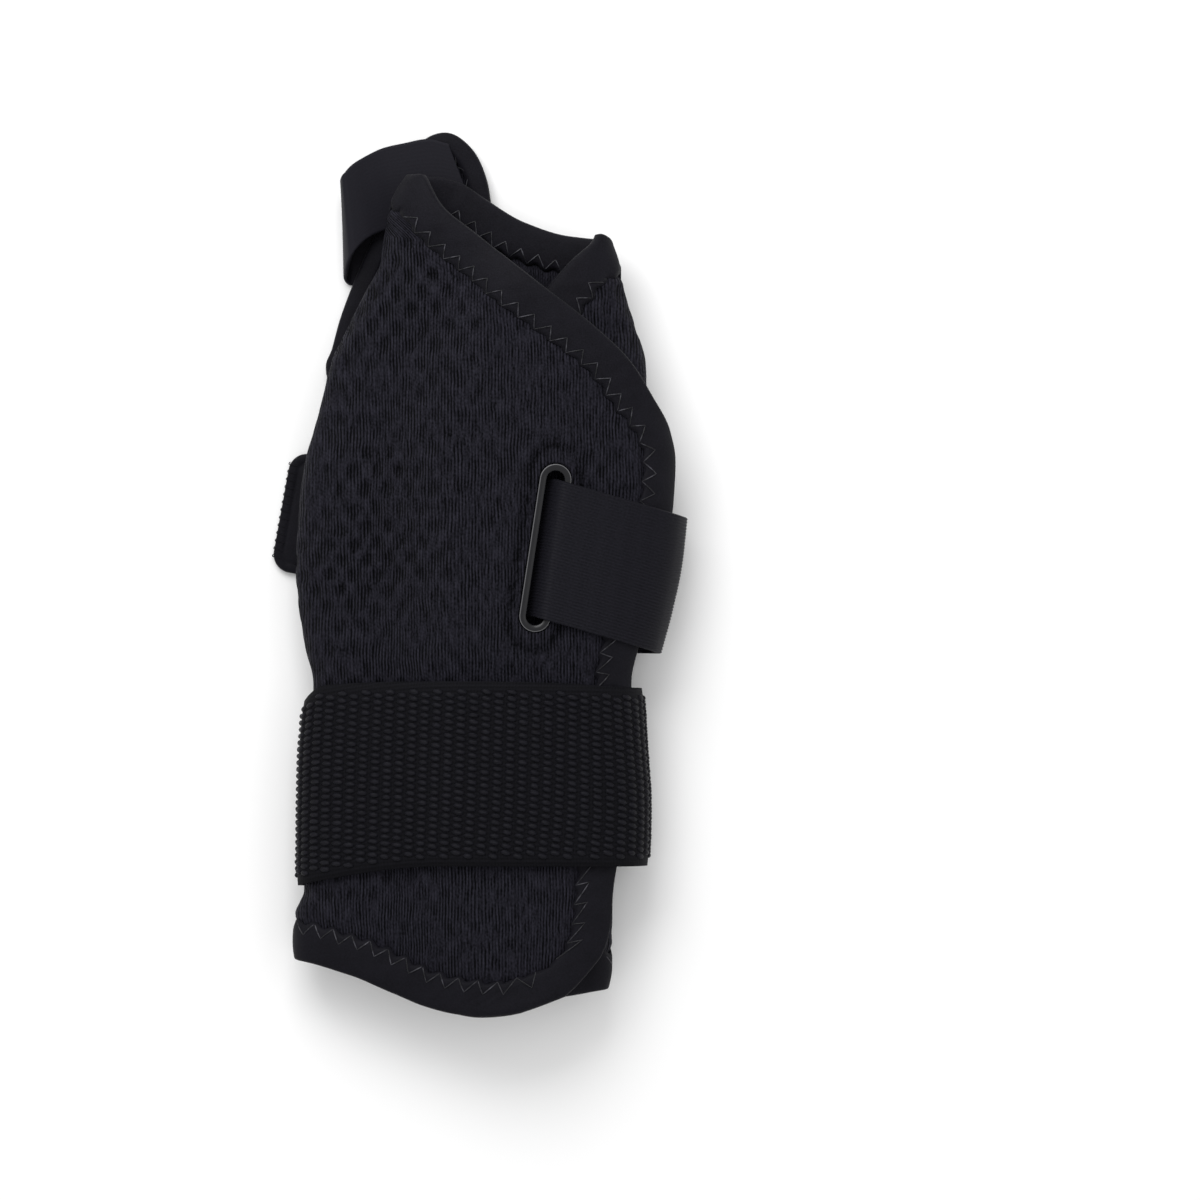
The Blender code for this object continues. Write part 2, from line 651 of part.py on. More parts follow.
def hand_strap_rows():
    """Middle line and edges of the hand strap, a row of points for each station along it."""
    lean = np.array([math.sin(SLOT_TILT), math.cos(SLOT_TILT)]) * HAND_STRAP_WIDTH
    widths = np.linspace(-0.5, 0.5, STRAP_ROWS)
    slot_x = SLOT_ACROSS * BODY_WIDTH
    beside = RIM_HALF_HEIGHT + 2 * GAP + HAND_STRAP_WALL / 2
    clear = PANEL_WALL / 2 + (BINDING_HALF - PANEL_WALL / 2) + GAP + HAND_STRAP_WALL / 2
    through = SLOT_WIDTH / 2
    rows = []

    def row_at(x, up, height):
        row = []
        for w in widths:
            place_x = x + w * lean[0]
            place_up = up + w * lean[1] / BODY_LENGTH
            row.append((place_x, BODY_LOW_END + place_up * BODY_LENGTH, height(place_x, place_up)))
        rows.append(row)

    # Tail between the two front layers, then up through the slot
    passage = ((-HAND_STRAP_TAIL, -1.0), (-through * 2.2, -1.0), (-through * 1.1, -1.0))
    passage += ((-through * 0.55, -0.6), (0.0, 0.0), (through * 0.55, 0.6))
    passage += ((through * 1.1, 1.0), (through * 2.2, 1.0))
    for offset, share in passage:
        up = SLOT_UP - max(offset, 0.0) * math.tan(HAND_STRAP_FRONT_SLOPE) / BODY_LENGTH
        row_at(slot_x + offset, up, lambda x, u, s=share: front_height(x, u, 0.0) + s * beside)

    # Over the flap to the shoulder of the right fold
    back_z = BODY_REST - GAP - HAND_STRAP_WALL / 2
    shoulder_x = wrapped(STRAP_FOLD_UP, HAND_STRAP_SHOULDER, clear, back_z)[0]
    for x in np.linspace(slot_x + through * 2.2, shoulder_x, 7)[1:-1]:
        up = SLOT_UP - (x - slot_x) * math.tan(HAND_STRAP_FRONT_SLOPE) / BODY_LENGTH
        row_at(x, up, lambda px, pu: front_height(px, pu, max(clear, beside)))

    # Round the right fold, sinking as far as the slope takes it
    slope = math.tan(HAND_STRAP_FRONT_SLOPE) / BODY_LENGTH
    fold_up = SLOT_UP - (shoulder_x - slot_x) * slope
    for turned in np.linspace(0.0, 1.0, 14):
        row = []
        out = clear + HAND_STRAP_FOLD_SLACK * turned * (1 - turned)
        for w in widths:
            trial = np.linspace(1.3, 0.1, 60)
            up = fold_up + w * lean[1] / BODY_LENGTH
            reached = [wrapped(up, angle, clear, back_z)[0] for angle in trial]
            start = float(np.interp(shoulder_x + w * lean[0], reached, trial))
            angle = start + (HAND_STRAP_TUCK - start) * turned
            gone = wrapped(up, max(angle, 0.0), out, back_z)[0] - shoulder_x - w * lean[0]
            up -= max(gone, 0.0) * slope
            x, z = wrapped(up, angle, out, back_z)
            row.append((x, BODY_LOW_END + up * BODY_LENGTH, z))
        rows.append(row)

    # Along the back to the tab
    start_x, start_y, _ = np.mean(rows[-1], axis=0)
    end_x = TAB_END_ACROSS * BODY_WIDTH + 0.3 * TAB_LENGTH
    for x in np.linspace(start_x, end_x, 8)[1:]:
        rise = (start_x - x) * math.tan(HAND_STRAP_BACK_SLOPE)
        up = (start_y - BODY_LOW_END + rise) / BODY_LENGTH
        row_at(x, up, lambda px, pu: back_z)
    return np.array(rows)


def wrapped(up, angle, out, lowest):
    """A place round the outside of the whole wrap, over the flap's stand-off and not under lowest."""
    x, z, out_x, out_z = (float(v) for v in fold_line(up, np.array(angle)))
    below = math.sin(angle) < 0
    lift = full_lift(up) + FLAP_EDGE_LIFT if below and out_x > 0 else float(flap_lift(up, x))
    if below:
        turned = math.acos(max(-1.0, min(1.0, math.cos(angle))))
        lift *= 1 - ease(turned / 1.0)
    return x + out_x * (lift + out), max(z + out_z * (lift + out), lowest)


def build_hand_strap(parts, material):
    strap = add_loft("hand_strap", hand_strap_rows(), parts, material)
    thicken(strap, HAND_STRAP_WALL)
    return strap


def build_tab(parts, material):
    """Fastening tab under the strap's end, a plate with round corners."""
    end_x = TAB_END_ACROSS * BODY_WIDTH
    back_x = BODY_WIDTH * SLICES("right", STRAP_FOLD_UP) - end_x
    up = STRAP_FOLD_UP + back_x * math.tan(HAND_STRAP_BACK_SLOPE) / BODY_LENGTH
    end_y = BODY_LOW_END + up * BODY_LENGTH
    slope = -HAND_STRAP_BACK_SLOPE
    corner = min(TAB_CORNER, TAB_WIDTH / 2)
    outline = []
    for cx, cy, first in ((1, 1, 0), (0, 1, 1), (0, 0, 2), (1, 0, 3)):
        middle_x = corner + cx * (TAB_LENGTH - 2 * corner)
        middle_y = (cy - 0.5) * (TAB_WIDTH - 2 * corner)
        for k in range(6):
            angle = (first + k / 5) * math.pi / 2
            outline.append((middle_x + corner * math.cos(angle), middle_y + corner * math.sin(angle)))
    turn = np.array([[math.cos(slope), math.sin(slope)], [-math.sin(slope), math.cos(slope)]])
    turned = np.array([end_x, end_y]) + np.array(outline) @ turn
    rings = [at_height(turned, height) for height in (0.0, TAB_WALL)]
    return add_rings("hand_strap_tab", rings, parts, material)


def build_wrist_strap(parts, material):
    """One webbing strap round the wrap, its end lapped over its start behind the wrap."""
    close = GAP + WRIST_WEBBING_WALL / 2
    behind = PANEL_WALL / 2 + close
    inner = BINDING_HALF + GAP + close
    outer = BODY_REST + PANEL_WALL / 2 - WRIST_WEBBING_WALL / 2
    rows = []
    for turn in np.linspace(WRIST_START, WRIST_END, WRIST_STATIONS):
        low = float(WRIST_EDGES("low", turn))
        high = float(WRIST_EDGES("high", turn))
        dropped = float(ease((turn - WRIST_DROP) / (WRIST_DROPPED - WRIST_DROP)))
        begun = float(ease((turn - WRIST_START) / -WRIST_START))
        near = behind + (inner - behind) * begun
        out = near + (outer - near) * dropped
        lowest = BODY_REST - close if turn < WRIST_DROP else WRIST_WEBBING_WALL / 2
        row = []
        for share in np.linspace(0.0, 1.0, STRAP_ROWS):
            up = low + (high - low) * share
            x, z = wrapped(up, turn * math.pi, out, lowest)
            row.append((x, BODY_LOW_END + up * BODY_LENGTH, z))
        rows.append(row)
    strap = add_loft("wrist_strap", rows, parts, material)
    thicken(strap, WRIST_WEBBING_WALL)
    return strap


def build_thumb_strap(parts, material):
    rows = []
    behind = THUMB_STRAP_WALL / 2
    for along in np.linspace(0.0, 1.0, THUMB_STATIONS):
        value = {name: float(THUMB_LOOP(name, along)) for name in THUMB_LOOP.columns}
        height = behind + value["lift"] * (THUMB_FRONT_MID - behind) + value["arch"] * THUMB_LOOP_ARCH
        row = []
        for share in np.linspace(0.0, 1.0, STRAP_ROWS):
            x = value["low_x"] + (value["high_x"] - value["low_x"]) * share
            up = value["low_up"] + (value["high_up"] - value["low_up"]) * share
            row.append((x * BODY_WIDTH, BODY_LOW_END + up * BODY_LENGTH, height))
        rows.append(row)
    strap = add_loft("thumb_strap", rows, parts, material)
    thicken(strap, THUMB_STRAP_WALL)
    return strap


def tongue_edge():
    places = [(x * BODY_WIDTH, BODY_LOW_END + up * BODY_LENGTH) for x, up in TONGUE_OUTLINE]
    return closed_curve(places, TONGUE_STATIONS)


def build_tongue(parts, material):
    edge = tongue_edge()
    into = inward(edge)
    hem = HEM_WALL / 2
    full = TONGUE_WALL / 2
    flat = TONGUE_BINDING_DEPTH + BINDING_TAPE
    sides = ((flat + full - hem, -full), (flat, -hem), (0.0, -hem))
    sides += tuple((inset, -height) for inset, height in sides[::-1])
    rings = [at_height(edge + into * inset, TONGUE_MID + height) for inset, height in sides]
    return add_rings("thumb_tongue", rings, parts, material)


def build_tongue_binding(parts, material):
    edge = tongue_edge()
    into = inward(edge)
    turn = -(BINDING_EASE + BINDING_TAPE / 2)
    mid = BINDING_MID
    profile = ((TONGUE_BINDING_DEPTH, mid), (0.0, mid), (turn, 0.6 * mid))
    profile += ((turn, -0.6 * mid), (0.0, -mid), (TONGUE_BINDING_DEPTH, -mid))
    columns = [at_height(edge + into * inset, TONGUE_MID + height) for inset, height in profile]
    binding = add_loft("tongue_binding", np.stack(columns, axis=1), parts, material, closed=True)
    thicken(binding, BINDING_TAPE)
    return binding


def settle(parts, cutters):
    """Sets the middle of the whole wrap over the origin, with its lowest point on Z = 0."""
    bpy.context.view_layer.update()
    graph = bpy.context.evaluated_depsgraph_get()
    corners = np.array([corner for obj in parts.objects for corner in obj.evaluated_get(graph).bound_box])
    low = corners.min(axis=0)
    high = corners.max(axis=0)
    for obj in (*parts.objects, *cutters.objects):
        obj.location = (-(low[0] + high[0]) / 2, -(low[1] + high[1]) / 2, -low[2])


def main():
    for obj in list(bpy.data.objects):
        bpy.data.objects.remove(obj, do_unlink=True)
    parts = bpy.data.collections.new("thumb_spica_splint")
    cutters = bpy.data.collections.new("cutters")
    bpy.context.scene.collection.children.link(parts)
    bpy.context.scene.collection.children.link(cutters)

    mesh_fabric = finish("spacer_mesh", (0.015, 0.015, 0.018), 0.9)
    tape = finish("binding_tape", (0.016, 0.016, 0.019), 0.75)
    elastic = finish("ribbed_elastic", (0.010, 0.010, 0.012), 0.7)
    smooth_elastic = finish("smooth_elastic", (0.018, 0.018, 0.021), 0.75)
    webbing = finish("woven_webbing", (0.009, 0.009, 0.011), 0.6)
    hook = finish("hook_tape", (0.012, 0.012, 0.014), 0.6)
    plastic = finish("rim_plastic", (0.02, 0.02, 0.022), 0.35)

    grid = panel_grid()
    panel = build_panel(grid, parts, cutters, mesh_fabric)
    build_panel_binding(grid, panel, parts, tape)
    build_slot_rim(parts, plastic)
    build_hand_strap(parts, elastic)
    build_tab(parts, hook)
    build_wrist_strap(parts, webbing)
    build_thumb_strap(parts, smooth_elastic)
    build_tongue(parts, mesh_fabric)
    build_tongue_binding(parts, tape)
    settle(parts, cutters)


main()
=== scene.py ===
"""Looks of a thumb and wrist wrap that lies closed on its back, seen from straight above.

The wrap is one padded panel rolled into a flat tube. X runs across it, Y along it, +Z up.
"""

import json
import math

import bmesh
import bpy
import numpy as np
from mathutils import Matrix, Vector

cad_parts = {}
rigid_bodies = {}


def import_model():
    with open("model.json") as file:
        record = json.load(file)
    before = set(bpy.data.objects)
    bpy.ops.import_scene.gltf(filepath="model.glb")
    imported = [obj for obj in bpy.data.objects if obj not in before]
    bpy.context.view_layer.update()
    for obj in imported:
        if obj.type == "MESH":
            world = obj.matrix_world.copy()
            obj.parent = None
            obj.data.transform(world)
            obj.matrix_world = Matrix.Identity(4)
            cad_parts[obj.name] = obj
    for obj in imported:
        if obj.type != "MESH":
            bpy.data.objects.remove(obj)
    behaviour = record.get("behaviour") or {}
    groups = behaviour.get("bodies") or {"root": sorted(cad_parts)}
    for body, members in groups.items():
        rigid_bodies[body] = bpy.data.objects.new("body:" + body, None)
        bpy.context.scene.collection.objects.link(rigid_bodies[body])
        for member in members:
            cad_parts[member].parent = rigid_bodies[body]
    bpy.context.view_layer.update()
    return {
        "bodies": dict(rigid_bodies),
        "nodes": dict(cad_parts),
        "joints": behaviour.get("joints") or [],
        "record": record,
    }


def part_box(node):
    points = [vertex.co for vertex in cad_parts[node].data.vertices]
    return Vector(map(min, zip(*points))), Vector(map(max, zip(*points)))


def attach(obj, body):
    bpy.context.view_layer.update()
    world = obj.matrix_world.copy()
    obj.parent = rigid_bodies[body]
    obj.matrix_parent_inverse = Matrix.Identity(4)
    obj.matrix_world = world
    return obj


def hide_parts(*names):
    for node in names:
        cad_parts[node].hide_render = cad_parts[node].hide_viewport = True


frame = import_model()

# Sizes of the wrap, in metres, the same as in its solids
BODY_LENGTH = 0.224
BODY_WIDTH = 0.100
BODY_LOW_END = -0.1186
PANEL_WALL = 0.0032
HEM_WALL = 0.0014
BACK_DEPTH = 0.0060
ARCH_HEIGHT = 0.0095
FRONT_ROUNDNESS = 2.3
BACK_ROUNDNESS = 3.0
BACK_FLATTENING = 1.06
FLAP_EASE = 0.024
FLAP_EDGE_REACH = 0.0013
FLAP_EDGE_LIFT = 0.0018
BINDING_DEPTH = 0.0095
BINDING_TAPE = 0.00055
BINDING_EASE = 0.00045
HEM_RUN_OUT = 0.0020
SLOT_LENGTH = 0.0414
SLOT_WIDTH = 0.0048
SLOT_TILT = math.radians(8.6)
RIM_BARREL = 0.0008
RIM_FLANGE = 0.0010
RIM_HALF_HEIGHT = 0.0019
RIM_FLANGE_WALL = 0.0006
HAND_STRAP_WIDTH = 0.0370
HAND_STRAP_WALL = 0.0015
HAND_STRAP_TAIL = 0.0140
HAND_STRAP_FRONT_SLOPE = math.radians(16.0)
HAND_STRAP_BACK_SLOPE = math.radians(10.2)
HAND_STRAP_FOLD_SLACK = 0.0024
HAND_STRAP_SHOULDER = 0.55
HAND_STRAP_TUCK = -1.15
TAB_LENGTH = 0.0420
TAB_WIDTH = 0.0325
TAB_WALL = 0.0022
TAB_CORNER = 0.0050
WRIST_WEBBING_WALL = 0.0019
THUMB_STRAP_WALL = 0.0012
THUMB_LOOP_ARCH = 0.0050
TONGUE_WALL = 0.0026
TONGUE_BINDING_DEPTH = 0.0045
GAP = 0.0003
STRAP_ROWS = 4
TONGUE_STATIONS = 168
SLOT_ACROSS = 0.178
SLOT_UP = 0.559
STRAP_FOLD_UP = 0.520
TAB_END_ACROSS = -0.530
WRIST_START = -0.55
WRIST_DROP = 1.10
WRIST_DROPPED = 1.30
WRIST_END = 1.84

BINDING_MID = HEM_WALL / 2 + BINDING_EASE + BINDING_TAPE / 2
BINDING_HALF = BINDING_MID + BINDING_TAPE / 2
BODY_REST = max(2 * (WRIST_WEBBING_WALL + GAP), TAB_WALL + HAND_STRAP_WALL + 2 * GAP)
TONGUE_MID = THUMB_STRAP_WALL + GAP + BINDING_HALF
THUMB_FRONT_MID = TONGUE_MID + BINDING_HALF + GAP + THUMB_STRAP_WALL / 2
THUMB_STACK = THUMB_FRONT_MID + THUMB_STRAP_WALL / 2 + GAP + BINDING_HALF - PANEL_WALL / 2
THUMB_RISE = max(THUMB_STACK - BODY_REST, 0.0)
RIM_OVER_PANEL = max(RIM_HALF_HEIGHT - PANEL_WALL / 2, 0.0)
SLOT_LAYER_GAP = HAND_STRAP_WALL + RIM_OVER_PANEL + 4 * GAP
HEM_LAYER_GAP = BINDING_HALF - PANEL_WALL / 2 + 2 * GAP

# Relief of the cloth and thread, and what follows the photograph closer than the solids do
DIMPLE_ACROSS = 0.0068
DIMPLE_ALONG = 0.0094
DIMPLE_DEPTH = 0.00050
DIMPLE_FADE = 0.72
DIMPLE_FADE_FROM = -0.032
DIMPLE_FADE_RUN = 0.040
DIMPLES_BEHIND = 0.6
RIB_PITCH = 0.00084
RIB_HEIGHT = 0.00016
ZIGZAG_PITCH = 0.0026
ZIGZAG_REACH = 0.0015
ZIGZAG_SET_BACK = 0.0013
TONGUE_ZIGZAG = 0.0044
THREAD_RADIUS = 0.00016
STITCH_DIVE = 0.00022
STITCH_LIFT = 0.00004
TAPE_PUFF = 0.00028
TAPE_SCALLOP = 0.00075
TAPE_SINK = 0.00034
TAPE_SINK_FROM = 0.84
TAPE_SINK_RUN = 0.16
TAPE_TURNS = (60.0, 30.0, 0.0, -30.0, -60.0)
FLOAT_ALONG = 0.0033
FLOAT_ACROSS = 0.00178
FLOAT_HEIGHT = 0.00068
SELVEDGE = 0.0023
WEBBING_LEAN_LOW = 0.0014
WEBBING_LEAN_TURN = 0.0040
WEBBING_LEAN_FROM = 0.020
WEBBING_LEAN_RUN = 0.025
SLOT_FLAT_REACH = 0.0030
SLOT_FLAT_RUN_OUT = 0.0035
SLOT_SEAM_REACH = 0.0068
SLOT_SEAM_WIDTH = 0.0011
SLOT_SEAM_DEPTH = 0.00095
SOFT_WAVES = 0.00022
UNDER_PLUMB = 0.03
FRONT_PLUMB = 0.0
TAB_ROUNDING = 0.0009
TAB_SEAM = (0.0022, 0.0027, 0.0032)
TAB_SEAM_DEPTH = 0.0003
TAB_SHIFT = (-0.0006, 0.0017)
TAB_RUN_INSET = 0.0027
TAB_RUN_PITCH = 0.0028
WHIP_PITCH = 0.0021
WHIP_REACH = 0.0034

# Cells of the panel's grid
HEM_CELLS = 7
RAMP_CELLS = 2
UNDER_CELLS = 30
TURN_CELLS = 78
LONG_CELLS = 192
FOLD_START = HEM_CELLS + RAMP_CELLS + UNDER_CELLS
FOLD_END = FOLD_START + TURN_CELLS
MOST_HEM_SHARE = 0.8

# Colours of the bands: painted shade between the threads and painted light on their tops, mixed with random
# fuzz
RIBBED_DARK = (0.0006, 0.0006, 0.0014)
RIBBED_LIGHT = (0.0145, 0.0139, 0.0196)
SMOOTH_DARK = (0.0066, 0.0063, 0.0090)
SMOOTH_LIGHT = (0.0122, 0.0117, 0.0163)
GROUND_DARK = (0.0007, 0.0007, 0.0012)
GROUND_LIGHT = (0.0058, 0.0056, 0.0080)

# Photograph's frame
PHOTO_SCALE = 0.00027
PHOTO_SIDE = 1200 * PHOTO_SCALE
AIM = (0.0324, -0.0072)
CAMERA_HEIGHT = 1.6
SENSOR = 36.0


def smooth(knots, values, at):
    """A curve through the values that never overshoots them."""
    knots = np.asarray(knots, float)
    values = np.asarray(values, float)
    if values.ndim > 1:
        flat = values.reshape(len(values), -1)
        return np.stack([smooth(knots, column, at) for column in flat.T], axis=-1)
    step = np.diff(knots)
    slope = np.diff(values) / step
    tangent = np.zeros(len(knots))
    tangent[0] = slope[0]
    tangent[-1] = slope[-1]
    same_way = slope[:-1] * slope[1:] > 0
    weight_a = 2 * step[1:] + step[:-1]
    weight_b = step[1:] + 2 * step[:-1]
    safe_a = np.where(same_way, slope[:-1], 1.0)
    safe_b = np.where(same_way, slope[1:], 1.0)
    mean = (weight_a + weight_b) / (weight_a / safe_a + weight_b / safe_b)
    tangent[1:-1] = np.where(same_way, mean, 0.0)
    at = np.clip(at, knots[0], knots[-1])
    i = np.clip(np.searchsorted(knots, at, side="right") - 1, 0, len(step) - 1)
    s = (at - knots[i]) / step[i]
    rest = 1 - s
    start = (1 + 2 * s) * rest**2 * values[i] + s * rest**2 * step[i] * tangent[i]
    end = s**2 * (3 - 2 * s) * values[i + 1] - s**2 * rest * step[i] * tangent[i + 1]
    return start + end


def ease(value):
    """0 to 1 with level ends."""
    value = np.clip(value, 0.0, 1.0)
    return value * value * (3 - 2 * value)


def hump(value, width):
    """A round bump of the given half width about 0."""
    return np.exp(-((value / width) ** 2))


def y_of(up):
    """Y at a share of the wrap's length."""
    return BODY_LOW_END + up * BODY_LENGTH


class Table:
    """Rows of shares with named columns, read as smooth curves over the first column."""

    def __init__(self, columns, rows):
        rows = sorted(rows)
        self.columns = {name: [row[k] for row in rows] for k, name in enumerate(columns)}
        self.knots = self.columns[columns[0]]

    def __call__(self, name, at):
        return smooth(self.knots, self.columns[name], at)


SLICES = Table(
    ("up", "left", "right", "flap_edge", "under_edge", "arch", "rise", "loose"),
    (
        (0.000, -0.472, 0.340, 0.135, 0.140, 0.80, 0, 0.0),
        (0.030, -0.481, 0.346, 0.240, 0.130, 0.84, 0, 0.0),
        (0.054, -0.491, 0.354, 0.292, 0.118, 0.88, 0, 0.0),
        (0.084, -0.497, 0.356, 0.340, 0.104, 0.92, 0, 0.0),
        (0.119, -0.494, 0.357, 0.356, 0.090, 0.96, 0, 0.0),
        (0.148, -0.467, 0.358, 0.360, 0.080, 0.98, 0, 0.0),
        (0.281, -0.464, 0.383, 0.405, 0.050, 1.00, 0, 0.0),
        (0.402, -0.448, 0.384, 0.408, 0.040, 1.00, 0, 0.2),
        (0.442, -0.467, 0.400, 0.427, 0.035, 1.00, 0, 0.8),
        (0.534, -0.489, 0.446, 0.486, 0.025, 1.00, 0, 1.0),
        (0.610, -0.481, 0.464, 0.518, 0.022, 1.00, 0, 1.0),
        (0.663, -0.467, 0.467, 0.524, 0.026, 1.00, 0, 1.0),
        (0.698, -0.446, 0.459, 0.510, 0.032, 1.00, 0.06, 0.9),
        (0.741, -0.421, 0.448, 0.462, 0.050, 1.00, 0.38, 0.6),
        (0.778, -0.402, 0.446, 0.410, 0.074, 0.98, 0.66, 0.3),
        (0.820, -0.356, 0.421, 0.313, 0.130, 0.94, 0.88, 0.1),
        (0.864, -0.305, 0.392, 0.186, 0.189, 0.88, 1, 0.0),
        (0.896, -0.267, 0.375, 0.095, 0.248, 0.82, 1, 0.0),
        (0.930, -0.254, 0.356, 0.000, 0.321, 0.76, 1, 0.0),
        (0.963, -0.232, 0.356, -0.089, 0.330, 0.70, 1, 0.0),
        (1.000, -0.181, 0.356, -0.135, 0.330, 0.62, 1, 0.0),
    ),
)

PANEL_ENDS = Table(
    ("across", "low", "high"),
    (
        (0.00, 0.040, 0.930),
        (0.30, 0.028, 0.929),
        (1.00, 0.036, 0.924),
        (1.20, 0.030, 0.929),
        (1.40, 0.033, 0.946),
        (1.60, 0.041, 0.975),
        (1.75, 0.050, 0.994),
        (1.88, 0.061, 1.000),
        (2.00, 0.071, 1.000),
        (2.20, 0.055, 1.000),
        (2.35, 0.035, 1.000),
        (2.50, 0.0185, 1.000),
        (2.65, 0.0095, 1.000),
        (2.78, 0.0055, 1.000),
        (2.90, 0.009, 1.000),
        (3.00, 0.030, 1.000),
    ),
)

WRIST_EDGES = Table(
    ("turn", "low", "high"),
    (
        (-0.55, 0.166, 0.386),
        (0.00, 0.180, 0.392),
        (0.50, 0.182, 0.401),
        (0.85, 0.163, 0.396),
        (1.00, 0.156, 0.374),
        (1.20, 0.154, 0.366),
        (1.50, 0.156, 0.372),
        (1.85, 0.166, 0.382),
    ),
)

THUMB_LOOP = Table(
    ("along", "high_x", "high_up", "low_x", "low_up", "lift", "arch"),
    (
        (0.00, -0.084, 1.045, 0.005, 0.941, 1, 0),
        (0.08, -0.140, 1.051, -0.068, 0.943, 1, 0),
        (0.16, -0.202, 1.046, -0.135, 0.946, 1, 0),
        (0.24, -0.259, 1.040, -0.202, 0.946, 1, 0.10),
        (0.32, -0.308, 1.029, -0.259, 0.940, 1, 0.45),
        (0.39, -0.343, 1.018, -0.308, 0.928, 1, 0.85),
        (0.45, -0.362, 1.008, -0.338, 0.912, 1, 1.00),
        (0.51, -0.369, 1.002, -0.354, 0.896, 1, 0.45),
        (0.57, -0.366, 0.993, -0.362, 0.883, 0.42, 0),
        (0.63, -0.346, 0.985, -0.345, 0.876, 0.03, 0),
        (0.70, -0.284, 0.990, -0.270, 0.878, 0, 0),
        (0.84, -0.202, 1.007, -0.184, 0.894, 0, 0),
        (1.00, -0.108, 1.023, -0.086, 0.914, 0, 0),
    ),
)

TONGUE_OUTLINE = (
    (-0.086, 1.055),
    (-0.028, 1.037),
    (0.006, 1.007),
    (0.021, 0.973),
    (0.030, 0.925),
    (0.030, 0.870),
    (-0.010, 0.815),
    (-0.080, 0.773),
    (-0.190, 0.749),
    (-0.310, 0.746),
    (-0.388, 0.757),
    (-0.405, 0.778),
    (-0.389, 0.798),
    (-0.367, 0.834),
    (-0.334, 0.874),
    (-0.292, 0.918),
    (-0.246, 0.962),
    (-0.196, 1.010),
    (-0.150, 1.045),
)


def fold_line(up, angle):
    """Places and outward directions on the slice's lens. Angle 0 is the right fold, pi the left."""
    left = SLICES("left", up) * BODY_WIDTH + PANEL_WALL / 2
    right = SLICES("right", up) * BODY_WIDTH - PANEL_WALL / 2
    half = (right - left) / 2
    low = BODY_REST + THUMB_RISE * SLICES("rise", up) + PANEL_WALL / 2
    cosine = np.cos(angle)
    sine = np.sin(angle)
    upper = sine >= 0
    power = np.where(upper, FRONT_ROUNDNESS, BACK_ROUNDNESS)
    reach = np.sign(cosine) * np.abs(cosine) ** (2 / power)
    height = np.abs(sine) ** (2 / power)
    depth = np.where(upper, ARCH_HEIGHT * SLICES("arch", up), BACK_DEPTH)
    flat = np.where(upper, height, np.minimum(height * BACK_FLATTENING, 1.0))
    x = (left + right) / 2 + half * reach
    z = low + BACK_DEPTH + np.where(upper, 1.0, -1.0) * depth * flat
    out_x = np.sign(reach) * np.abs(reach) ** (power - 1) / half
    out_z = np.where(upper, 1.0, -1.0) * height ** (power - 1) / depth
    size = np.hypot(out_x, out_z)
    return x, z, out_x / size, out_z / size


def full_lift(up):
    """How far the front flap stands off the lens where it lies over the underflap."""
    loose = SLICES("loose", up)
    return PANEL_WALL + HEM_LAYER_GAP + loose * (SLOT_LAYER_GAP - HEM_LAYER_GAP)


def flap_lift(up, x):
    """The front flap's stand-off, easing in before the underflap's edge and again before its own."""
    over = SLICES("under_edge", up) * BODY_WIDTH - 2 * PANEL_WALL
    edge = SLICES("flap_edge", up) * BODY_WIDTH
    lift = full_lift(up) * ease((x - over + FLAP_EASE) / FLAP_EASE)
    return lift + FLAP_EDGE_LIFT * ease((x - edge + FLAP_EASE) / FLAP_EASE)


def front_line(up, angle, out):
    """Places of the front flap's surface, moved out by a distance."""
    x, z, out_x, out_z = fold_line(up, angle)
    away = flap_lift(up, x) + out
    return x + out_x * away, z + out_z * away


def ends_of_turns():
    """Angles at which the underflap starts and the front flap ends, over a row of heights."""
    ups = np.linspace(0.0, 1.0, 161)
    left = SLICES("left", ups) * BODY_WIDTH + PANEL_WALL / 2
    right = SLICES("right", ups) * BODY_WIDTH - PANEL_WALL / 2
    reach = np.clip((2 * SLICES("under_edge", ups) * BODY_WIDTH - left - right) / (right - left), -1, 1)
    under = np.arccos(np.sign(reach) * np.abs(reach) ** (FRONT_ROUNDNESS / 2))
    angles = np.linspace(math.pi, 0.02, 256)
    x, _ = front_line(ups[:, None], angles[None, :], 0.0)
    goal = SLICES("flap_edge", ups) * BODY_WIDTH - FLAP_EDGE_REACH
    flap = [np.interp(g, np.maximum.accumulate(row), angles) for g, row in zip(goal, x)]
    return ups, under, np.array(flap)


TURN_UPS, UNDER_ENDS, FLAP_ENDS = ends_of_turns()


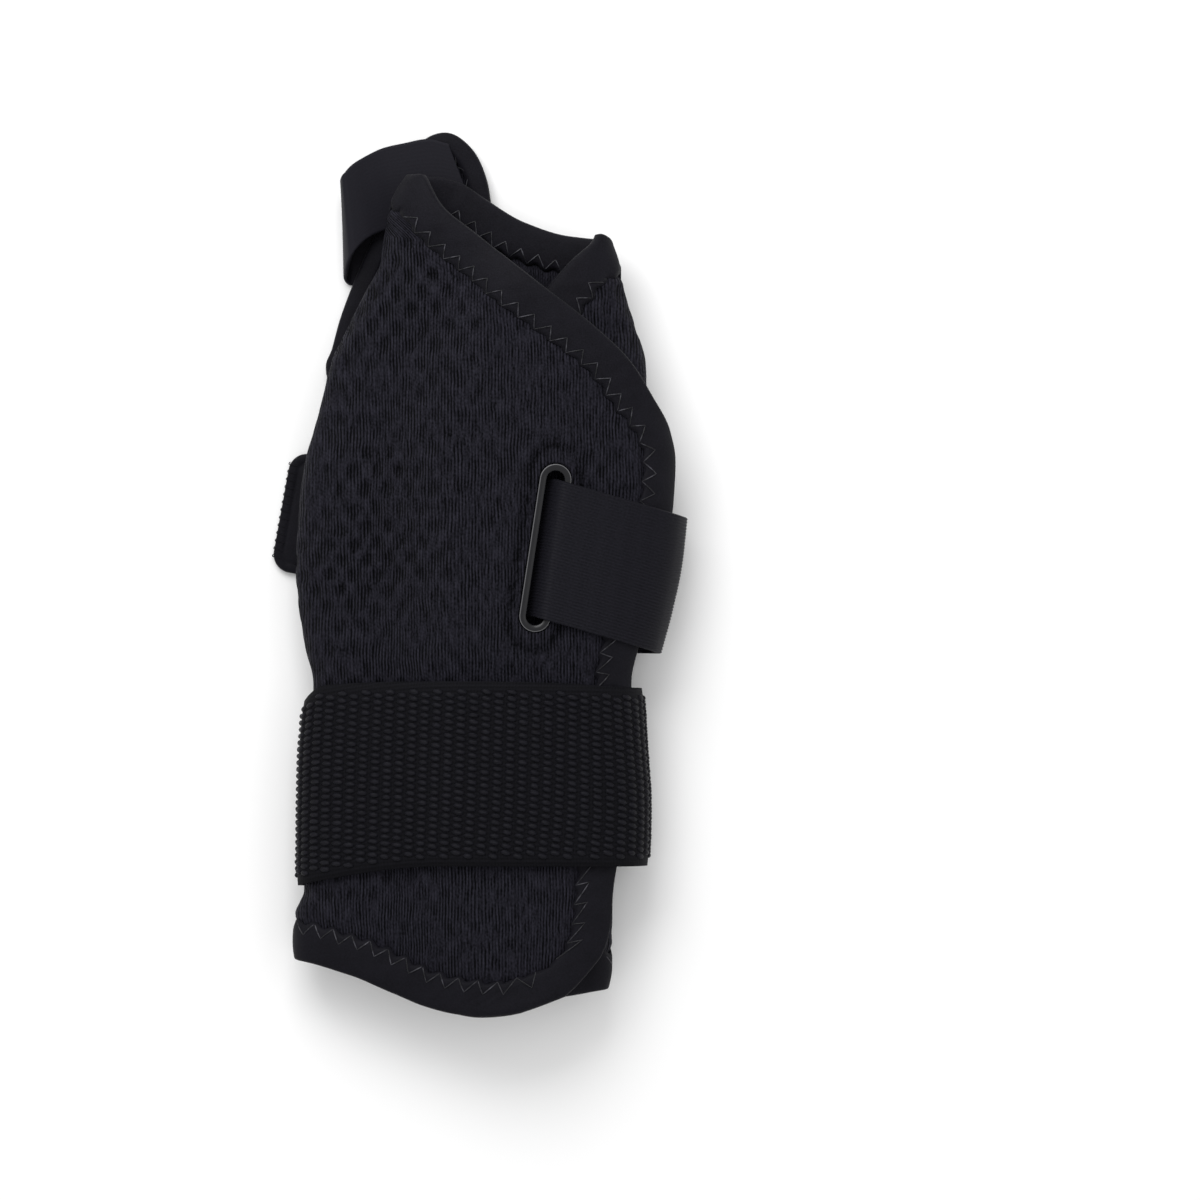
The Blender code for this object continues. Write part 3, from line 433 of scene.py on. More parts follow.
def surface(across, along):
    """Points on the panel's middle surface. across runs from 0 to 3, along from 0 to 1."""
    shape = np.shape(across)
    across = np.ravel(across)
    along = np.ravel(along)
    low = PANEL_ENDS("low", across)
    up = low + (PANEL_ENDS("high", across) - low) * along
    run = np.minimum(across.astype(int), 2)
    under = np.interp(up, TURN_UPS, UNDER_ENDS)
    flap = np.interp(up, TURN_UPS, FLAP_ENDS)
    first = np.choose(run, [under, np.zeros_like(up), np.full_like(up, math.pi)])
    last = np.choose(run, [np.zeros_like(up), np.full_like(up, -math.pi), flap])
    share = np.linspace(0.0, 1.0, 80)
    angle = first[:, None] + (last - first)[:, None] * share
    level = np.broadcast_to(up[:, None], angle.shape)
    x, z, out_x, out_z = fold_line(level, angle)
    lift = np.where(run[:, None] == 2, flap_lift(level, x), 0.0)
    x = x + out_x * lift
    z = z + out_z * lift
    length = np.cumsum(np.hypot(np.diff(x, axis=1), np.diff(z, axis=1)), axis=1)
    length = np.concatenate([np.zeros((len(x), 1)), length], axis=1)
    goal = (across - run) * length[:, -1]
    k = np.clip((length < goal[:, None]).sum(axis=1) - 1, 0, len(share) - 2)
    rows = np.arange(len(x))
    part = (goal - length[rows, k]) / np.maximum(length[rows, k + 1] - length[rows, k], 1e-12)
    px = x[rows, k] + (x[rows, k + 1] - x[rows, k]) * part
    pz = z[rows, k] + (z[rows, k + 1] - z[rows, k]) * part
    points = np.stack([px, y_of(up), pz], axis=-1)
    return points.reshape(*shape, 3)


def hem_share(across, along, by_across):
    """The step in across or along that reaches one metre in from the panel's edge."""
    step = 0.004
    a0 = np.maximum(across - step, 0.0)
    a1 = np.minimum(across + step, 3.0)
    t0 = np.maximum(along - step, 0.0)
    t1 = np.minimum(along + step, 1.0)
    along_x = (surface(a1, along) - surface(a0, along)) / (a1 - a0)[:, None]
    along_y = (surface(across, t1) - surface(across, t0)) / (t1 - t0)[:, None]
    size_x = np.linalg.norm(along_x, axis=1)
    size_y = np.linalg.norm(along_y, axis=1)
    crossing = np.linalg.norm(np.cross(along_x, along_y), axis=1) / (size_x * size_y)
    return 1 / ((size_x if by_across else size_y) * np.maximum(crossing, 0.3))


def stepped(cells):
    """Which stretch each grid line lies in, and how far along it."""
    knots = np.concatenate([[0], np.cumsum(cells)])
    index = np.arange(knots[-1] + 1)
    stretch = np.clip(np.searchsorted(knots, index, side="right") - 1, 0, len(cells) - 1)
    return stretch, (index - knots[stretch]) / np.array(cells)[stretch]


def panel_grid():
    """The panel's middle surface as a fine grid whose outer lines follow its edge."""
    ts = np.linspace(0.0, 1.0, 41)
    acs = np.linspace(0.0, 3.0, 121)
    reach = BINDING_DEPTH + HEM_RUN_OUT
    near = hem_share(np.zeros_like(ts), ts, True)
    far = hem_share(np.full_like(ts, 3.0), ts, True)
    low = hem_share(acs, np.zeros_like(acs), False)
    high = hem_share(acs, np.ones_like(acs), False)
    near, far = (np.minimum(v, MOST_HEM_SHARE / reach) for v in (near, far))
    hem = [HEM_CELLS, RAMP_CELLS]
    column_at, column_part = stepped([*hem, UNDER_CELLS, TURN_CELLS, TURN_CELLS, *hem[::-1]])
    row_at, row_part = stepped([*hem, LONG_CELLS, *hem[::-1]])
    level = np.linspace(0.0, 1.0, len(row_at))
    for _ in range(3):
        n = np.interp(level, ts, near)
        f = np.interp(level, ts, far)
        one = np.ones_like(n)
        knots = [0 * n, n * BINDING_DEPTH, n * reach, one, 2 * one]
        knots = np.stack([*knots, 3 - f * reach, 3 - f * BINDING_DEPTH, 3 * one], axis=1)
        across = knots[:, column_at] * (1 - column_part) + knots[:, column_at + 1] * column_part
        lo = np.interp(across, acs, low)
        hi = np.interp(across, acs, high)
        knots = [0 * lo, lo * BINDING_DEPTH, lo * reach, 1 - hi * reach, 1 - hi * BINDING_DEPTH, 0 * hi + 1]
        knots = np.stack(knots)
        rows = np.arange(len(row_at))
        part = row_part[:, None]
        along = knots[row_at, rows] * (1 - part) + knots[row_at + 1, rows] * part
        level = along.mean(axis=1)
        level[0] = 0.0
        level[-1] = 1.0
    return surface(across, along)


def directions(grid):
    """Unit directions at right angles to a grid of points."""
    out = np.cross(np.gradient(grid, axis=1), np.gradient(grid, axis=0))
    size = np.linalg.norm(out, axis=2, keepdims=True)
    return out / np.maximum(size, 1e-12)


def ring_number(rows, columns):
    """How many grid lines each point is in from the edge."""
    i = np.minimum(np.arange(rows), np.arange(rows)[::-1])
    j = np.minimum(np.arange(columns), np.arange(columns)[::-1])
    return np.minimum(i[:, None], j[None, :])


def in_scene(name, data):
    """A new object that holds a mesh, light or camera."""
    obj = bpy.data.objects.new(name, data)
    bpy.context.scene.collection.objects.link(obj)
    return obj


def add_mesh(name, points, faces, material, uv=None):
    """A smooth mesh, with metres across and along the cloth as its UV map where they are given."""
    mesh = bpy.data.meshes.new(name)
    mesh.from_pydata(np.asarray(points, float).tolist(), [], faces)
    if uv is not None:
        corners = np.empty(len(mesh.loops), np.int32)
        mesh.loops.foreach_get("vertex_index", corners)
        layer = mesh.uv_layers.new(name="cloth")
        layer.data.foreach_set("uv", np.asarray(uv, np.float32)[corners].reshape(-1))
    mesh.materials.append(material)
    mesh.shade_smooth()
    return in_scene(name, mesh)


def right_way_out(obj):
    """Turns every face outwards, and drops points that no face uses."""
    shape = bmesh.new()
    shape.from_mesh(obj.data)
    loose = [v for v in shape.verts if not v.link_faces]
    bmesh.ops.delete(shape, geom=loose, context="VERTS")
    bmesh.ops.recalc_face_normals(shape, faces=shape.faces)
    shape.to_mesh(obj.data)
    shape.free()
    obj.data.shade_smooth()
    return obj


def grid_cells(rows, columns):
    """Faces between the lines of a grid, by the numbers of their points."""
    index = np.arange(rows * columns).reshape(rows, columns)
    return np.stack([index[:-1, :-1], index[:-1, 1:], index[1:, 1:], index[1:, :-1]], axis=-1)


def shell(name, outer, inner, material, uv):
    """A closed body between two grids of points, with walls round their edges."""
    cells = grid_cells(*outer.shape[:2]).reshape(-1, 4)
    total = outer.shape[0] * outer.shape[1]
    start = cells.reshape(-1)
    end = np.roll(cells, -1, axis=1).reshape(-1)
    lone = ~np.isin(start * total + end, end * total + start)
    walls = np.stack([start[lone], start[lone] + total, end[lone] + total, end[lone]], axis=-1)
    faces = np.concatenate([cells, cells[:, ::-1] + total, walls])
    points = np.concatenate([outer.reshape(-1, 3), inner.reshape(-1, 3)])
    return add_mesh(name, points, faces.tolist(), material, np.concatenate([uv.reshape(-1, 2)] * 2))


def painted(obj, name, values):
    """Stores a number for each point, which a finish reads by its name."""
    layer = obj.data.attributes.new(name, "FLOAT", "POINT")
    layer.data.foreach_set("value", np.asarray(values, np.float32).reshape(-1))


def long_oval(length, radius, per_end):
    """A flat outline with round ends, its length along Y."""
    straight = max(length / 2 - radius, 0.0)
    angles = np.linspace(0.0, math.pi, per_end)
    top = np.column_stack([radius * np.cos(angles), straight + radius * np.sin(angles)])
    return np.concatenate([top, -top])


def unit(vector):
    """The same direction with length 1."""
    return vector / np.linalg.norm(vector)


def front_height(x, up, out):
    """Height of the front flap's surface at x, moved out by a distance."""
    angles = np.linspace(math.pi, 0.02, 128)
    xs, zs = front_line(up, angles, out)
    return float(np.interp(x, np.maximum.accumulate(xs), zs))


def slot_frame():
    """The slot's middle on the front flap, with its short, long and outward directions."""
    x = SLOT_ACROSS * BODY_WIDTH
    step = 0.25 * SLOT_LENGTH

    def place(dx, dy):
        up = SLOT_UP + dy / BODY_LENGTH
        return np.array([x + dx, y_of(up), front_height(x + dx, up, 0.0)])

    by_x = place(SLOT_WIDTH / 2, 0.0) - place(-SLOT_WIDTH / 2, 0.0)
    by_y = place(0.0, step) - place(0.0, -step)
    out = unit(np.cross(by_x, by_y))
    lean = np.array([math.sin(SLOT_TILT), math.cos(SLOT_TILT), 0.0])
    long_way = unit(lean - out * lean.dot(out))
    return place(0.0, 0.0), np.cross(long_way, out), long_way, out


def placed(frame, flat_points, height):
    """Flat points set on a frame at a height along its outward direction."""
    middle, short_way, long_way, out = frame
    return np.array([middle + short_way * p[0] + long_way * p[1] + out * height for p in flat_points])


def slot_oval(margin, per_end=9):
    """The slot's outline grown by a margin."""
    return long_oval(SLOT_LENGTH + 2 * margin, SLOT_WIDTH / 2 + margin, per_end)


def wrapped(up, angle, out, lowest):
    """A place round the outside of the whole wrap, over the flap's stand-off and not under lowest."""
    x, z, out_x, out_z = (float(v) for v in fold_line(up, np.array(angle)))
    below = math.sin(angle) < 0
    lift = full_lift(up) + FLAP_EDGE_LIFT if below and out_x > 0 else float(flap_lift(up, x))
    if below:
        turned = math.acos(max(-1.0, min(1.0, math.cos(angle))))
        lift *= 1 - ease(turned)
    return x + out_x * (lift + out), max(z + out_z * (lift + out), lowest)


def hand_strap_rows():
    """Middle line and edges of the hand strap, a row of points for each station along it."""
    lean = np.array([math.sin(SLOT_TILT), math.cos(SLOT_TILT)]) * HAND_STRAP_WIDTH
    widths = np.linspace(-0.5, 0.5, STRAP_ROWS)
    slot_x = SLOT_ACROSS * BODY_WIDTH
    beside = RIM_HALF_HEIGHT + 2 * GAP + HAND_STRAP_WALL / 2
    clear = PANEL_WALL / 2 + (BINDING_HALF - PANEL_WALL / 2) + GAP + HAND_STRAP_WALL / 2
    through = SLOT_WIDTH / 2
    rows = []

    def row_at(x, up, height):
        row = []
        for w in widths:
            place_x = x + w * lean[0]
            place_up = up + w * lean[1] / BODY_LENGTH
            row.append((place_x, y_of(place_up), height(place_x, place_up)))
        rows.append(row)

    # Tail between the two front layers, then up through the slot
    passage = ((-HAND_STRAP_TAIL, -1.0), (-through * 2.2, -1.0), (-through * 1.1, -1.0))
    passage += ((-through * 0.55, -0.6), (0.0, 0.0), (through * 0.55, 0.6))
    passage += ((through * 1.1, 1.0), (through * 2.2, 1.0))
    for offset, share in passage:
        up = SLOT_UP - max(offset, 0.0) * math.tan(HAND_STRAP_FRONT_SLOPE) / BODY_LENGTH
        row_at(slot_x + offset, up, lambda x, u, s=share: front_height(x, u, 0.0) + s * beside)

    # Over the flap to the shoulder of the right fold
    back_z = BODY_REST - GAP - HAND_STRAP_WALL / 2
    shoulder_x = wrapped(STRAP_FOLD_UP, HAND_STRAP_SHOULDER, clear, back_z)[0]
    for x in np.linspace(slot_x + through * 2.2, shoulder_x, 7)[1:-1]:
        up = SLOT_UP - (x - slot_x) * math.tan(HAND_STRAP_FRONT_SLOPE) / BODY_LENGTH
        row_at(x, up, lambda px, pu: front_height(px, pu, max(clear, beside)))

    # Round the right fold, sinking as far as the slope takes it
    slope = math.tan(HAND_STRAP_FRONT_SLOPE) / BODY_LENGTH
    fold_up = SLOT_UP - (shoulder_x - slot_x) * slope
    for turned in np.linspace(0.0, 1.0, 14):
        row = []
        out = clear + HAND_STRAP_FOLD_SLACK * turned * (1 - turned)
        for w in widths:
            trial = np.linspace(1.3, 0.1, 60)
            up = fold_up + w * lean[1] / BODY_LENGTH
            reached = [wrapped(up, angle, clear, back_z)[0] for angle in trial]
            start = float(np.interp(shoulder_x + w * lean[0], reached, trial))
            angle = start + (HAND_STRAP_TUCK - start) * turned
            gone = wrapped(up, max(angle, 0.0), out, back_z)[0] - shoulder_x - w * lean[0]
            up -= max(gone, 0.0) * slope
            x, z = wrapped(up, angle, out, back_z)
            row.append((x, y_of(up), z))
        rows.append(row)

    # Along the back to the tab
    start_x, start_y, _ = np.mean(rows[-1], axis=0)
    end_x = TAB_END_ACROSS * BODY_WIDTH + 0.3 * TAB_LENGTH
    for x in np.linspace(start_x, end_x, 8)[1:]:
        rise = (start_x - x) * math.tan(HAND_STRAP_BACK_SLOPE)
        up = (start_y - BODY_LOW_END + rise) / BODY_LENGTH
        row_at(x, up, lambda px, pu: back_z)
    return np.array(rows)


def closed_curve(points, count):
    """Evenly numbered places on a smooth closed curve through the points."""
    points = np.asarray(points)
    total = len(points)
    places = []
    for k in range(count):
        at = k * total / count
        i = int(at)
        s = at - i
        before, start, end, after = (points[(i + j) % total] for j in (-1, 0, 1, 2))
        bend = 2 * before - 5 * start + 4 * end - after
        turn = 3 * start - before - 3 * end + after
        places.append((2 * start + (end - before) * s + bend * s * s + turn * s**3) / 2)
    return np.array(places)


def inward(outline):
    """Unit directions into a flat clockwise outline."""
    run = np.roll(outline, -1, axis=0) - np.roll(outline, 1, axis=0)
    side = np.stack([run[:, 1], -run[:, 0]], axis=1)
    return side / np.linalg.norm(side, axis=1, keepdims=True)


def at_height(outline, height):
    """A flat outline as points at one height."""
    return np.column_stack([outline, np.full(len(outline), height)])


def tongue_edge():
    """The tongue's outline as even stations."""
    places = [(x * BODY_WIDTH, y_of(up)) for x, up in TONGUE_OUTLINE]
    return closed_curve(places, TONGUE_STATIONS)


# Materials


class Wire:
    """A shader socket that takes arithmetic."""

    def __init__(self, graph, socket):
        self.graph = graph
        self.socket = socket

    def math(self, operation, *others):
        return self.graph.node("ShaderNodeMath", {"operation": operation}, dict(enumerate((self, *others))))

    def __add__(self, other):
        return self.math("ADD", other)

    def __sub__(self, other):
        return self.math("SUBTRACT", other)

    def __mul__(self, other):
        return self.math("MULTIPLY", other)

    def __rsub__(self, other):
        return self.graph.node("ShaderNodeMath", {"operation": "SUBTRACT"}, {0: other, 1: self})

    __radd__ = __add__
    __rmul__ = __mul__

    def wave(self):
        """A round wave from 0 to 1, once for each unit."""
        return (self * math.tau).math("SINE") * 0.5 + 0.5


class Finish:
    """A Principled material put together from Wires."""

    def __init__(self, name, roughness, sheen, shine=0.07):
        self.material = bpy.data.materials.new(name)
        self.material.use_nodes = True
        self.tree = self.material.node_tree
        self.base = self.tree.nodes["Principled BSDF"]
        constants = {"Roughness": roughness, "Specular IOR Level": shine}
        constants.update({"Sheen Weight": sheen, "Sheen Roughness": 0.45})
        for key, value in constants.items():
            self.base.inputs[key].default_value = value

    def node(self, kind, settings, inputs, output=0):
        made = self.tree.nodes.new(kind)
        for key, value in settings.items():
            setattr(made, key, value)
        for key, value in inputs.items():
            if isinstance(value, Wire):
                self.tree.links.new(value.socket, made.inputs[key])
            else:
                made.inputs[key].default_value = value
        return Wire(self, made.outputs[output])

    def cloth_place(self):
        """Metres across and along the cloth, from its UV map."""
        place = self.node("ShaderNodeUVMap", {"uv_map": "cloth"}, {})
        return [self.node("ShaderNodeSeparateXYZ", {}, {0: place}, k) for k in range(2)]

    def value(self, name):
        return self.node("ShaderNodeAttribute", {"attribute_name": name}, {}, 2)

    def joined(self, x, y, z=0.0):
        return self.node("ShaderNodeCombineXYZ", {}, {0: x, 1: y, 2: z})

    def noise(self, place, scale=1.0, detail=2.0):
        return self.node("ShaderNodeTexNoise", {}, {"Vector": place, "Scale": scale, "Detail": detail})

    def object_place(self):
        return self.node("ShaderNodeTexCoord", {}, {}, 3)

    def solid_noise(self, scale):
        return self.noise(self.object_place(), scale)

    def colours(self, dark, light, share):
        inputs = {0: share, 6: (*dark, 1.0), 7: (*light, 1.0)}
        mixed = self.node("ShaderNodeMix", {"data_type": "RGBA"}, inputs, 2)
        self.tree.links.new(mixed.socket, self.base.inputs["Base Color"])

    def bumped(self, height, distance):
        bump = self.node("ShaderNodeBump", {}, {"Height": height, "Distance": distance, "Strength": 1.0})
        self.tree.links.new(bump.socket, self.base.inputs["Normal"])

    def rough(self, share, low, high):
        value = share * (high - low) + low
        self.tree.links.new(value.socket, self.base.inputs["Roughness"])


def knit_finish():
    """Spacer knit: narrow wales that wander, deep in the dimples and almost flat between them. Its colour
    carries painted shade in the grooves between the wales, in the dimples and in the pressed seam ring by
    the slot.
    """
    done = Finish("spacer_mesh", 0.7, 0.01, 0.05)
    u, v = done.cloth_place()
    sway = done.noise(done.joined(u * 90.0, v * 110.0))
    wale = (u * 1150.0 + sway * 1.4).wave()
    gap = (1.0 - wale).math("POWER", 2.2)
    loop = (v * 900.0 + (u * 575.0).math("FRACT")).wave()
    strand = done.noise(done.joined(u * 1500.0, v * 230.0)) - 0.5
    broad = done.noise(done.joined(u * 190.0, v * 120.0)) - 0.5
    fuzz = done.noise(done.joined(u * 2300.0, v * 1300.0)) - 0.5
    dent = done.value("dent")
    press = done.value("press")
    depth = (dent * 0.55 + broad * 2.1 + 0.42).math("MAXIMUM", 0.12)
    groove = gap * depth
    # Painted shade: the colour darkens in the wale grooves (more in the dimples), in the dimples and in the
    # pressed seam ring; strand, fuzz and broad are random tone
    light = strand * 1.3 + fuzz * 1.1 + broad * 0.6 + 0.55 - groove * 0.84 - dent * 0.10 - press * 0.34
    share = light.math("MAXIMUM", 0.0).math("MINIMUM", 1.0)
    done.colours((0.0003, 0.0003, 0.0008), (0.0215, 0.0206, 0.0298), share)
    done.bumped(strand * 0.7 + loop * 0.12 + fuzz * 0.3 - groove * 1.3, 0.00036)
    done.rough(share, 0.8, 0.5)
    return done.material


def tape_finish(name):
    """Smooth tape."""
    done = Finish(name, 0.62, 0.02)
    fine = done.solid_noise(2600.0)
    soft = done.solid_noise(140.0)
    done.colours((0.0030, 0.0028, 0.0044), (0.0078, 0.0074, 0.0108), fine * 1.6 + soft * 0.8 - 0.7)
    done.bumped(fine * 0.5 + soft * 1.6, 0.00012)
    return done.material


def webbing_finish():
    """Yarn of the wrist webbing."""
    done = Finish("woven_webbing", 0.5, 0.01, 0.10)
    place = done.object_place()
    x, y, z = (done.node("ShaderNodeSeparateXYZ", {}, {0: place}, k) for k in range(3))
    thread = done.noise(done.joined(x * 420.0, y * 6200.0, z * 1800.0))
    soft = done.solid_noise(380.0)
    done.colours((0.0012, 0.0012, 0.0022), (0.0110, 0.0106, 0.0155), thread * 1.1 + soft * 0.5 - 0.35)
    done.bumped(thread, 0.00020)
    done.rough(thread, 0.34, 0.62)
    return done.material


def plain_finish(name, dark, light, surface_values, per_metre, depth):
    """Woven or knitted band with fine threads along and across it, as many as per_metre says."""
    done = Finish(name, *surface_values)
    u, v = done.cloth_place()
    along, across = per_metre
    first = (v * across).wave()
    second = (u * along).wave()
    fuzz = done.noise(done.joined(u * 1800.0, v * 1800.0), detail=3.0)
    # Colour follows the thread waves, painted shade between threads and painted light on their tops, plus
    # random fuzz as the yarn's own tone
    done.colours(dark, light, first * 0.3 + second * 0.15 + fuzz * 0.8 - 0.15)
    done.bumped(first * 0.6 + second * 0.3 + fuzz * 0.9, depth)
    return done.material


def thread_finish():
    """Sewing thread, paler on some stitches than on others: dark thread with random pale patches that are
    painted glints.
    """
    done = Finish("thread", 0.38, 0.02, 0.3)
    fine = done.solid_noise(5200.0)
    long = done.solid_noise(420.0)
    done.colours((0.004, 0.004, 0.006), (0.050, 0.049, 0.060), fine * 0.6 + long * 4.4 - 2.3)
    done.bumped(fine, 0.00006)
    return done.material


def plastic_finish():
    """Dark plastic with a pale grey painted highlight on the outer top edge of its upper flange."""
    done = Finish("rim_plastic", 0.3, 0.0, 0.3)
    crest = done.value("crest")
    done.colours((0.0045, 0.0045, 0.0060), (0.11, 0.11, 0.115), crest)
    done.rough(crest, 0.28, 0.4)
    return done.material


def floor_finish():
    """White ground that is barely uneven."""
    done = Finish("floor", 0.9, 0.0)
    soft = done.solid_noise(3.0)
    done.colours((0.90, 0.90, 0.90), (0.92, 0.92, 0.92), soft)
    return done.material


# Geometry Nodes for what repeats


def repeated(name, sockets, build):
    """A node tree with named inputs, round what build makes. It ends in real faces with a finish."""
    tree = bpy.data.node_groups.new(name, "GeometryNodeTree")
    tree.interface.new_socket(name="Geometry", in_out="OUTPUT", socket_type="NodeSocketGeometry")
    tree.interface.new_socket(name="Geometry", in_out="INPUT", socket_type="NodeSocketGeometry")
    for label, kind in sockets:
        tree.interface.new_socket(name=label, in_out="INPUT", socket_type=kind)
    start = tree.nodes.new("NodeGroupInput")
    end = tree.nodes.new("NodeGroupOutput")

    def node(kind, settings, inputs):
        made = tree.nodes.new(kind)
        for key, value in settings.items():
            setattr(made, key, value)
        for key, value in inputs.items():
            if isinstance(value, bpy.types.NodeSocket):
                tree.links.new(value, made.inputs[key])
            else:
                made.inputs[key].default_value = value
        return made

    shape = build(node, {socket.name: socket for socket in start.outputs})
    real = node("GeometryNodeRealizeInstances", {}, {0: shape})
    smooth_faces = node("GeometryNodeSetShadeSmooth", {}, {0: real.outputs[0]})
    inputs = {0: smooth_faces.outputs[0], "Material": start.outputs["Finish"]}
    coloured = node("GeometryNodeSetMaterial", {}, inputs)
    tree.links.new(coloured.outputs[0], end.inputs[0])
    return tree


def thread_tree():
    """Round thread along the edges of a guide."""

    def build(node, given):
        line = node("GeometryNodeMeshToCurve", {}, {0: given["Geometry"]})
        inputs = {"Resolution": 6, "Radius": given["Thickness"]}
        ring = node("GeometryNodeCurvePrimitiveCircle", {}, inputs)
        inputs = {"Curve": line.outputs[0], "Profile Curve": ring.outputs[0], "Fill Caps": True}
        return node("GeometryNodeCurveToMesh", {}, inputs).outputs[0]

    sockets = (("Thickness", "NodeSocketFloat"), ("Finish", "NodeSocketMaterial"))
    return repeated("thread_runs", sockets, build)


def float_tree():
    """A yarn float on each point of a guide, turned and sized by the point's own values."""

    def build(node, given):
        ball = node("GeometryNodeMeshUVSphere", {}, {"Segments": 8, "Rings": 5, "Radius": 1.0})
        inputs = dict(enumerate(given[name] for name in ("Half Length", "Half Width", "Height")))
        size = node("ShaderNodeCombineXYZ", {}, inputs)
        lens = node("GeometryNodeTransform", {}, {0: ball.outputs[0], "Scale": size.outputs[0]})
        kind = {"data_type": "FLOAT_VECTOR"}
        named = "GeometryNodeInputNamedAttribute"
        turn, grow = (node(named, kind, {"Name": name}) for name in ("turn", "grow"))
        inputs = {"Points": given["Geometry"], "Instance": lens.outputs[0]}
        inputs.update({"Rotation": turn.outputs[0], "Scale": grow.outputs[0]})
        return node("GeometryNodeInstanceOnPoints", {}, inputs).outputs[0]

    sizes = [(name, "NodeSocketFloat") for name in ("Half Length", "Half Width", "Height")]
    return repeated("yarn_floats", [*sizes, ("Finish", "NodeSocketMaterial")], build)


def grown(name, points, edges, tree, values, attributes=()):
    """A plain mesh that a node tree makes from points and edges."""
    mesh = bpy.data.meshes.new(name + "_guide")
    mesh.from_pydata(np.asarray(points, float).tolist(), edges, [])
    for key, rows in attributes:
        layer = mesh.attributes.new(key, "FLOAT_VECTOR", "POINT")
        layer.data.foreach_set("vector", np.asarray(rows, np.float32).reshape(-1))
    guide = in_scene(name + "_guide", mesh)
    modifier = guide.modifiers.new("Grow", "NODES")
    modifier.node_group = tree
    for item in tree.interface.items_tree:
        if item.in_out == "INPUT" and item.name in values:
            modifier[item.identifier] = values[item.name]
    graph = bpy.context.evaluated_depsgraph_get()
    shape = bpy.data.meshes.new_from_object(guide.evaluated_get(graph), depsgraph=graph)
    bpy.data.objects.remove(guide)
    shape.name = name
    return in_scene(name, shape)


def threads(name, runs, thickness, material):
    """Sewing thread along runs of points."""
    points = np.concatenate(runs)
    edges = []
    first = 0
    for run in runs:
        edges += [(first + k, first + k + 1) for k in range(len(run) - 1)]
        first += len(run)
    return grown(name, points, edges, THREAD_TREE, {"Thickness": thickness, "Finish": material})


# Pieces


def arc(points, axis):
    """Length along each line of a grid, from its first point."""
    steps = np.linalg.norm(np.diff(points, axis=axis), axis=2)
    zero = np.zeros_like(np.take(steps, [0], axis=axis))
    return np.concatenate([zero, np.cumsum(steps, axis=axis)], axis=axis)


def in_grid(values, row, column):
    """Values of a grid between its lines."""
    i = np.clip(row.astype(int), 0, values.shape[0] - 2)
    j = np.clip(column.astype(int), 0, values.shape[1] - 2)
    a = (row - i)[:, None]
    b = (column - j)[:, None]
    near = values[i, j] * (1 - b) + values[i, j + 1] * b
    far = values[i + 1, j] * (1 - b) + values[i + 1, j + 1] * b
    return near * (1 - a) + far * a


def run_length(points):
    """Length along a line of points, from its first one."""
    return np.concatenate([[0.0], np.cumsum(np.linalg.norm(np.diff(points, axis=0), axis=1))])


def read_line(at, knots, values):
    """Rows of values between their knots."""
    return np.column_stack([np.interp(at, knots, column) for column in values.T])


def side_place(grid, side, along, ring):
    """Row and column of places along one side of a grid, some lines in from its edge."""
    rows, columns = grid.shape[:2]
    ring = np.full(along.shape, float(ring))
    row = (ring, along, rows - 1 - ring, along)[side]
    column = (along, columns - 1 - ring, along, ring)[side]
    return row, column


def edge_stations(grid):
    """Turns of the zigzag along each side of the binding, as places on the grid's lines."""
    rows, columns = grid.shape[:2]
    corner = HEM_CELLS + 2.0
    places = []
    for side, last in enumerate((columns - 1, rows - 1, columns - 1, rows - 1)):
        along = np.linspace(corner, last - corner, 400)
        length = run_length(in_grid(grid, *side_place(grid, side, along, HEM_CELLS)))
        count = 2 * max(int(round(length[-1] / ZIGZAG_PITCH / 2)), 1)
        places.append(np.interp(np.linspace(0, length[-1], count + 1), length, along))
    return places


def inwards_by(grid, out, row, column, inside, distance):
    """Grid places a distance in from an edge line, at right angles to it."""
    by_row = in_grid(np.gradient(grid, axis=0), row, column)
    by_column = in_grid(np.gradient(grid, axis=1), row, column)
    line = np.gradient(in_grid(grid, row, column), axis=0)
    way = np.cross(in_grid(out, row, column), line)
    way /= np.maximum(np.linalg.norm(way, axis=1, keepdims=True), 1e-12)
    inside_way = by_row * inside[0] + by_column * inside[1]
    way *= np.sign((way * inside_way).sum(axis=1, keepdims=True)) * distance[:, None]
    rr, rc, cc = (by_row**2).sum(1), (by_row * by_column).sum(1), (by_column**2).sum(1)
    dr, dc = (way * by_row).sum(1), (way * by_column).sum(1)
    size = rr * cc - rc * rc
    return row + (dr * cc - dc * rc) / size, column + (dc * rr - dr * rc) / size


def tape_puff(reach):
    """How far the tape stands up between its fold and its inner side."""
    return TAPE_PUFF * np.sin(math.pi * np.clip(reach, 0, 1))


def tape_fall(reach):
    """How far the tape sinks towards its inner side."""
    return TAPE_SINK * ease((reach - TAPE_SINK_FROM) / TAPE_SINK_RUN)


def zigzag_runs(grid, out, face):
    """Zigzag thread over the binding's inner side, on one face of the panel."""
    runs = []
    insides = ((1, 0), (0, -1), (-1, 0), (0, 1))
    for side, at in enumerate(edge_stations(grid)):
        turns = np.arange(len(at))
        ends = np.where(turns % 2 == 0, 1.0, -1.0)
        row, column = side_place(grid, side, at, HEM_CELLS)
        distance = ends * ZIGZAG_REACH - ZIGZAG_SET_BACK
        row, column = inwards_by(grid, out, row, column, insides[side], distance)
        fine = np.linspace(0, len(at) - 1, 4 * (len(at) - 1) + 1)
        place, way = (read_line(fine, turns, in_grid(of, row, column)) for of in (grid, out))
        swing = np.interp(fine, turns, ends)
        reach = 1 + (swing * ZIGZAG_REACH - ZIGZAG_SET_BACK) / BINDING_DEPTH
        height = BINDING_HALF + tape_puff(reach) - tape_fall(reach)
        height = height + THREAD_RADIUS * 0.5 - STITCH_DIVE * hump(np.abs(swing) - 1.0, 0.15)
        runs.append(place + way * (face * (height + STITCH_LIFT))[:, None])
    return runs


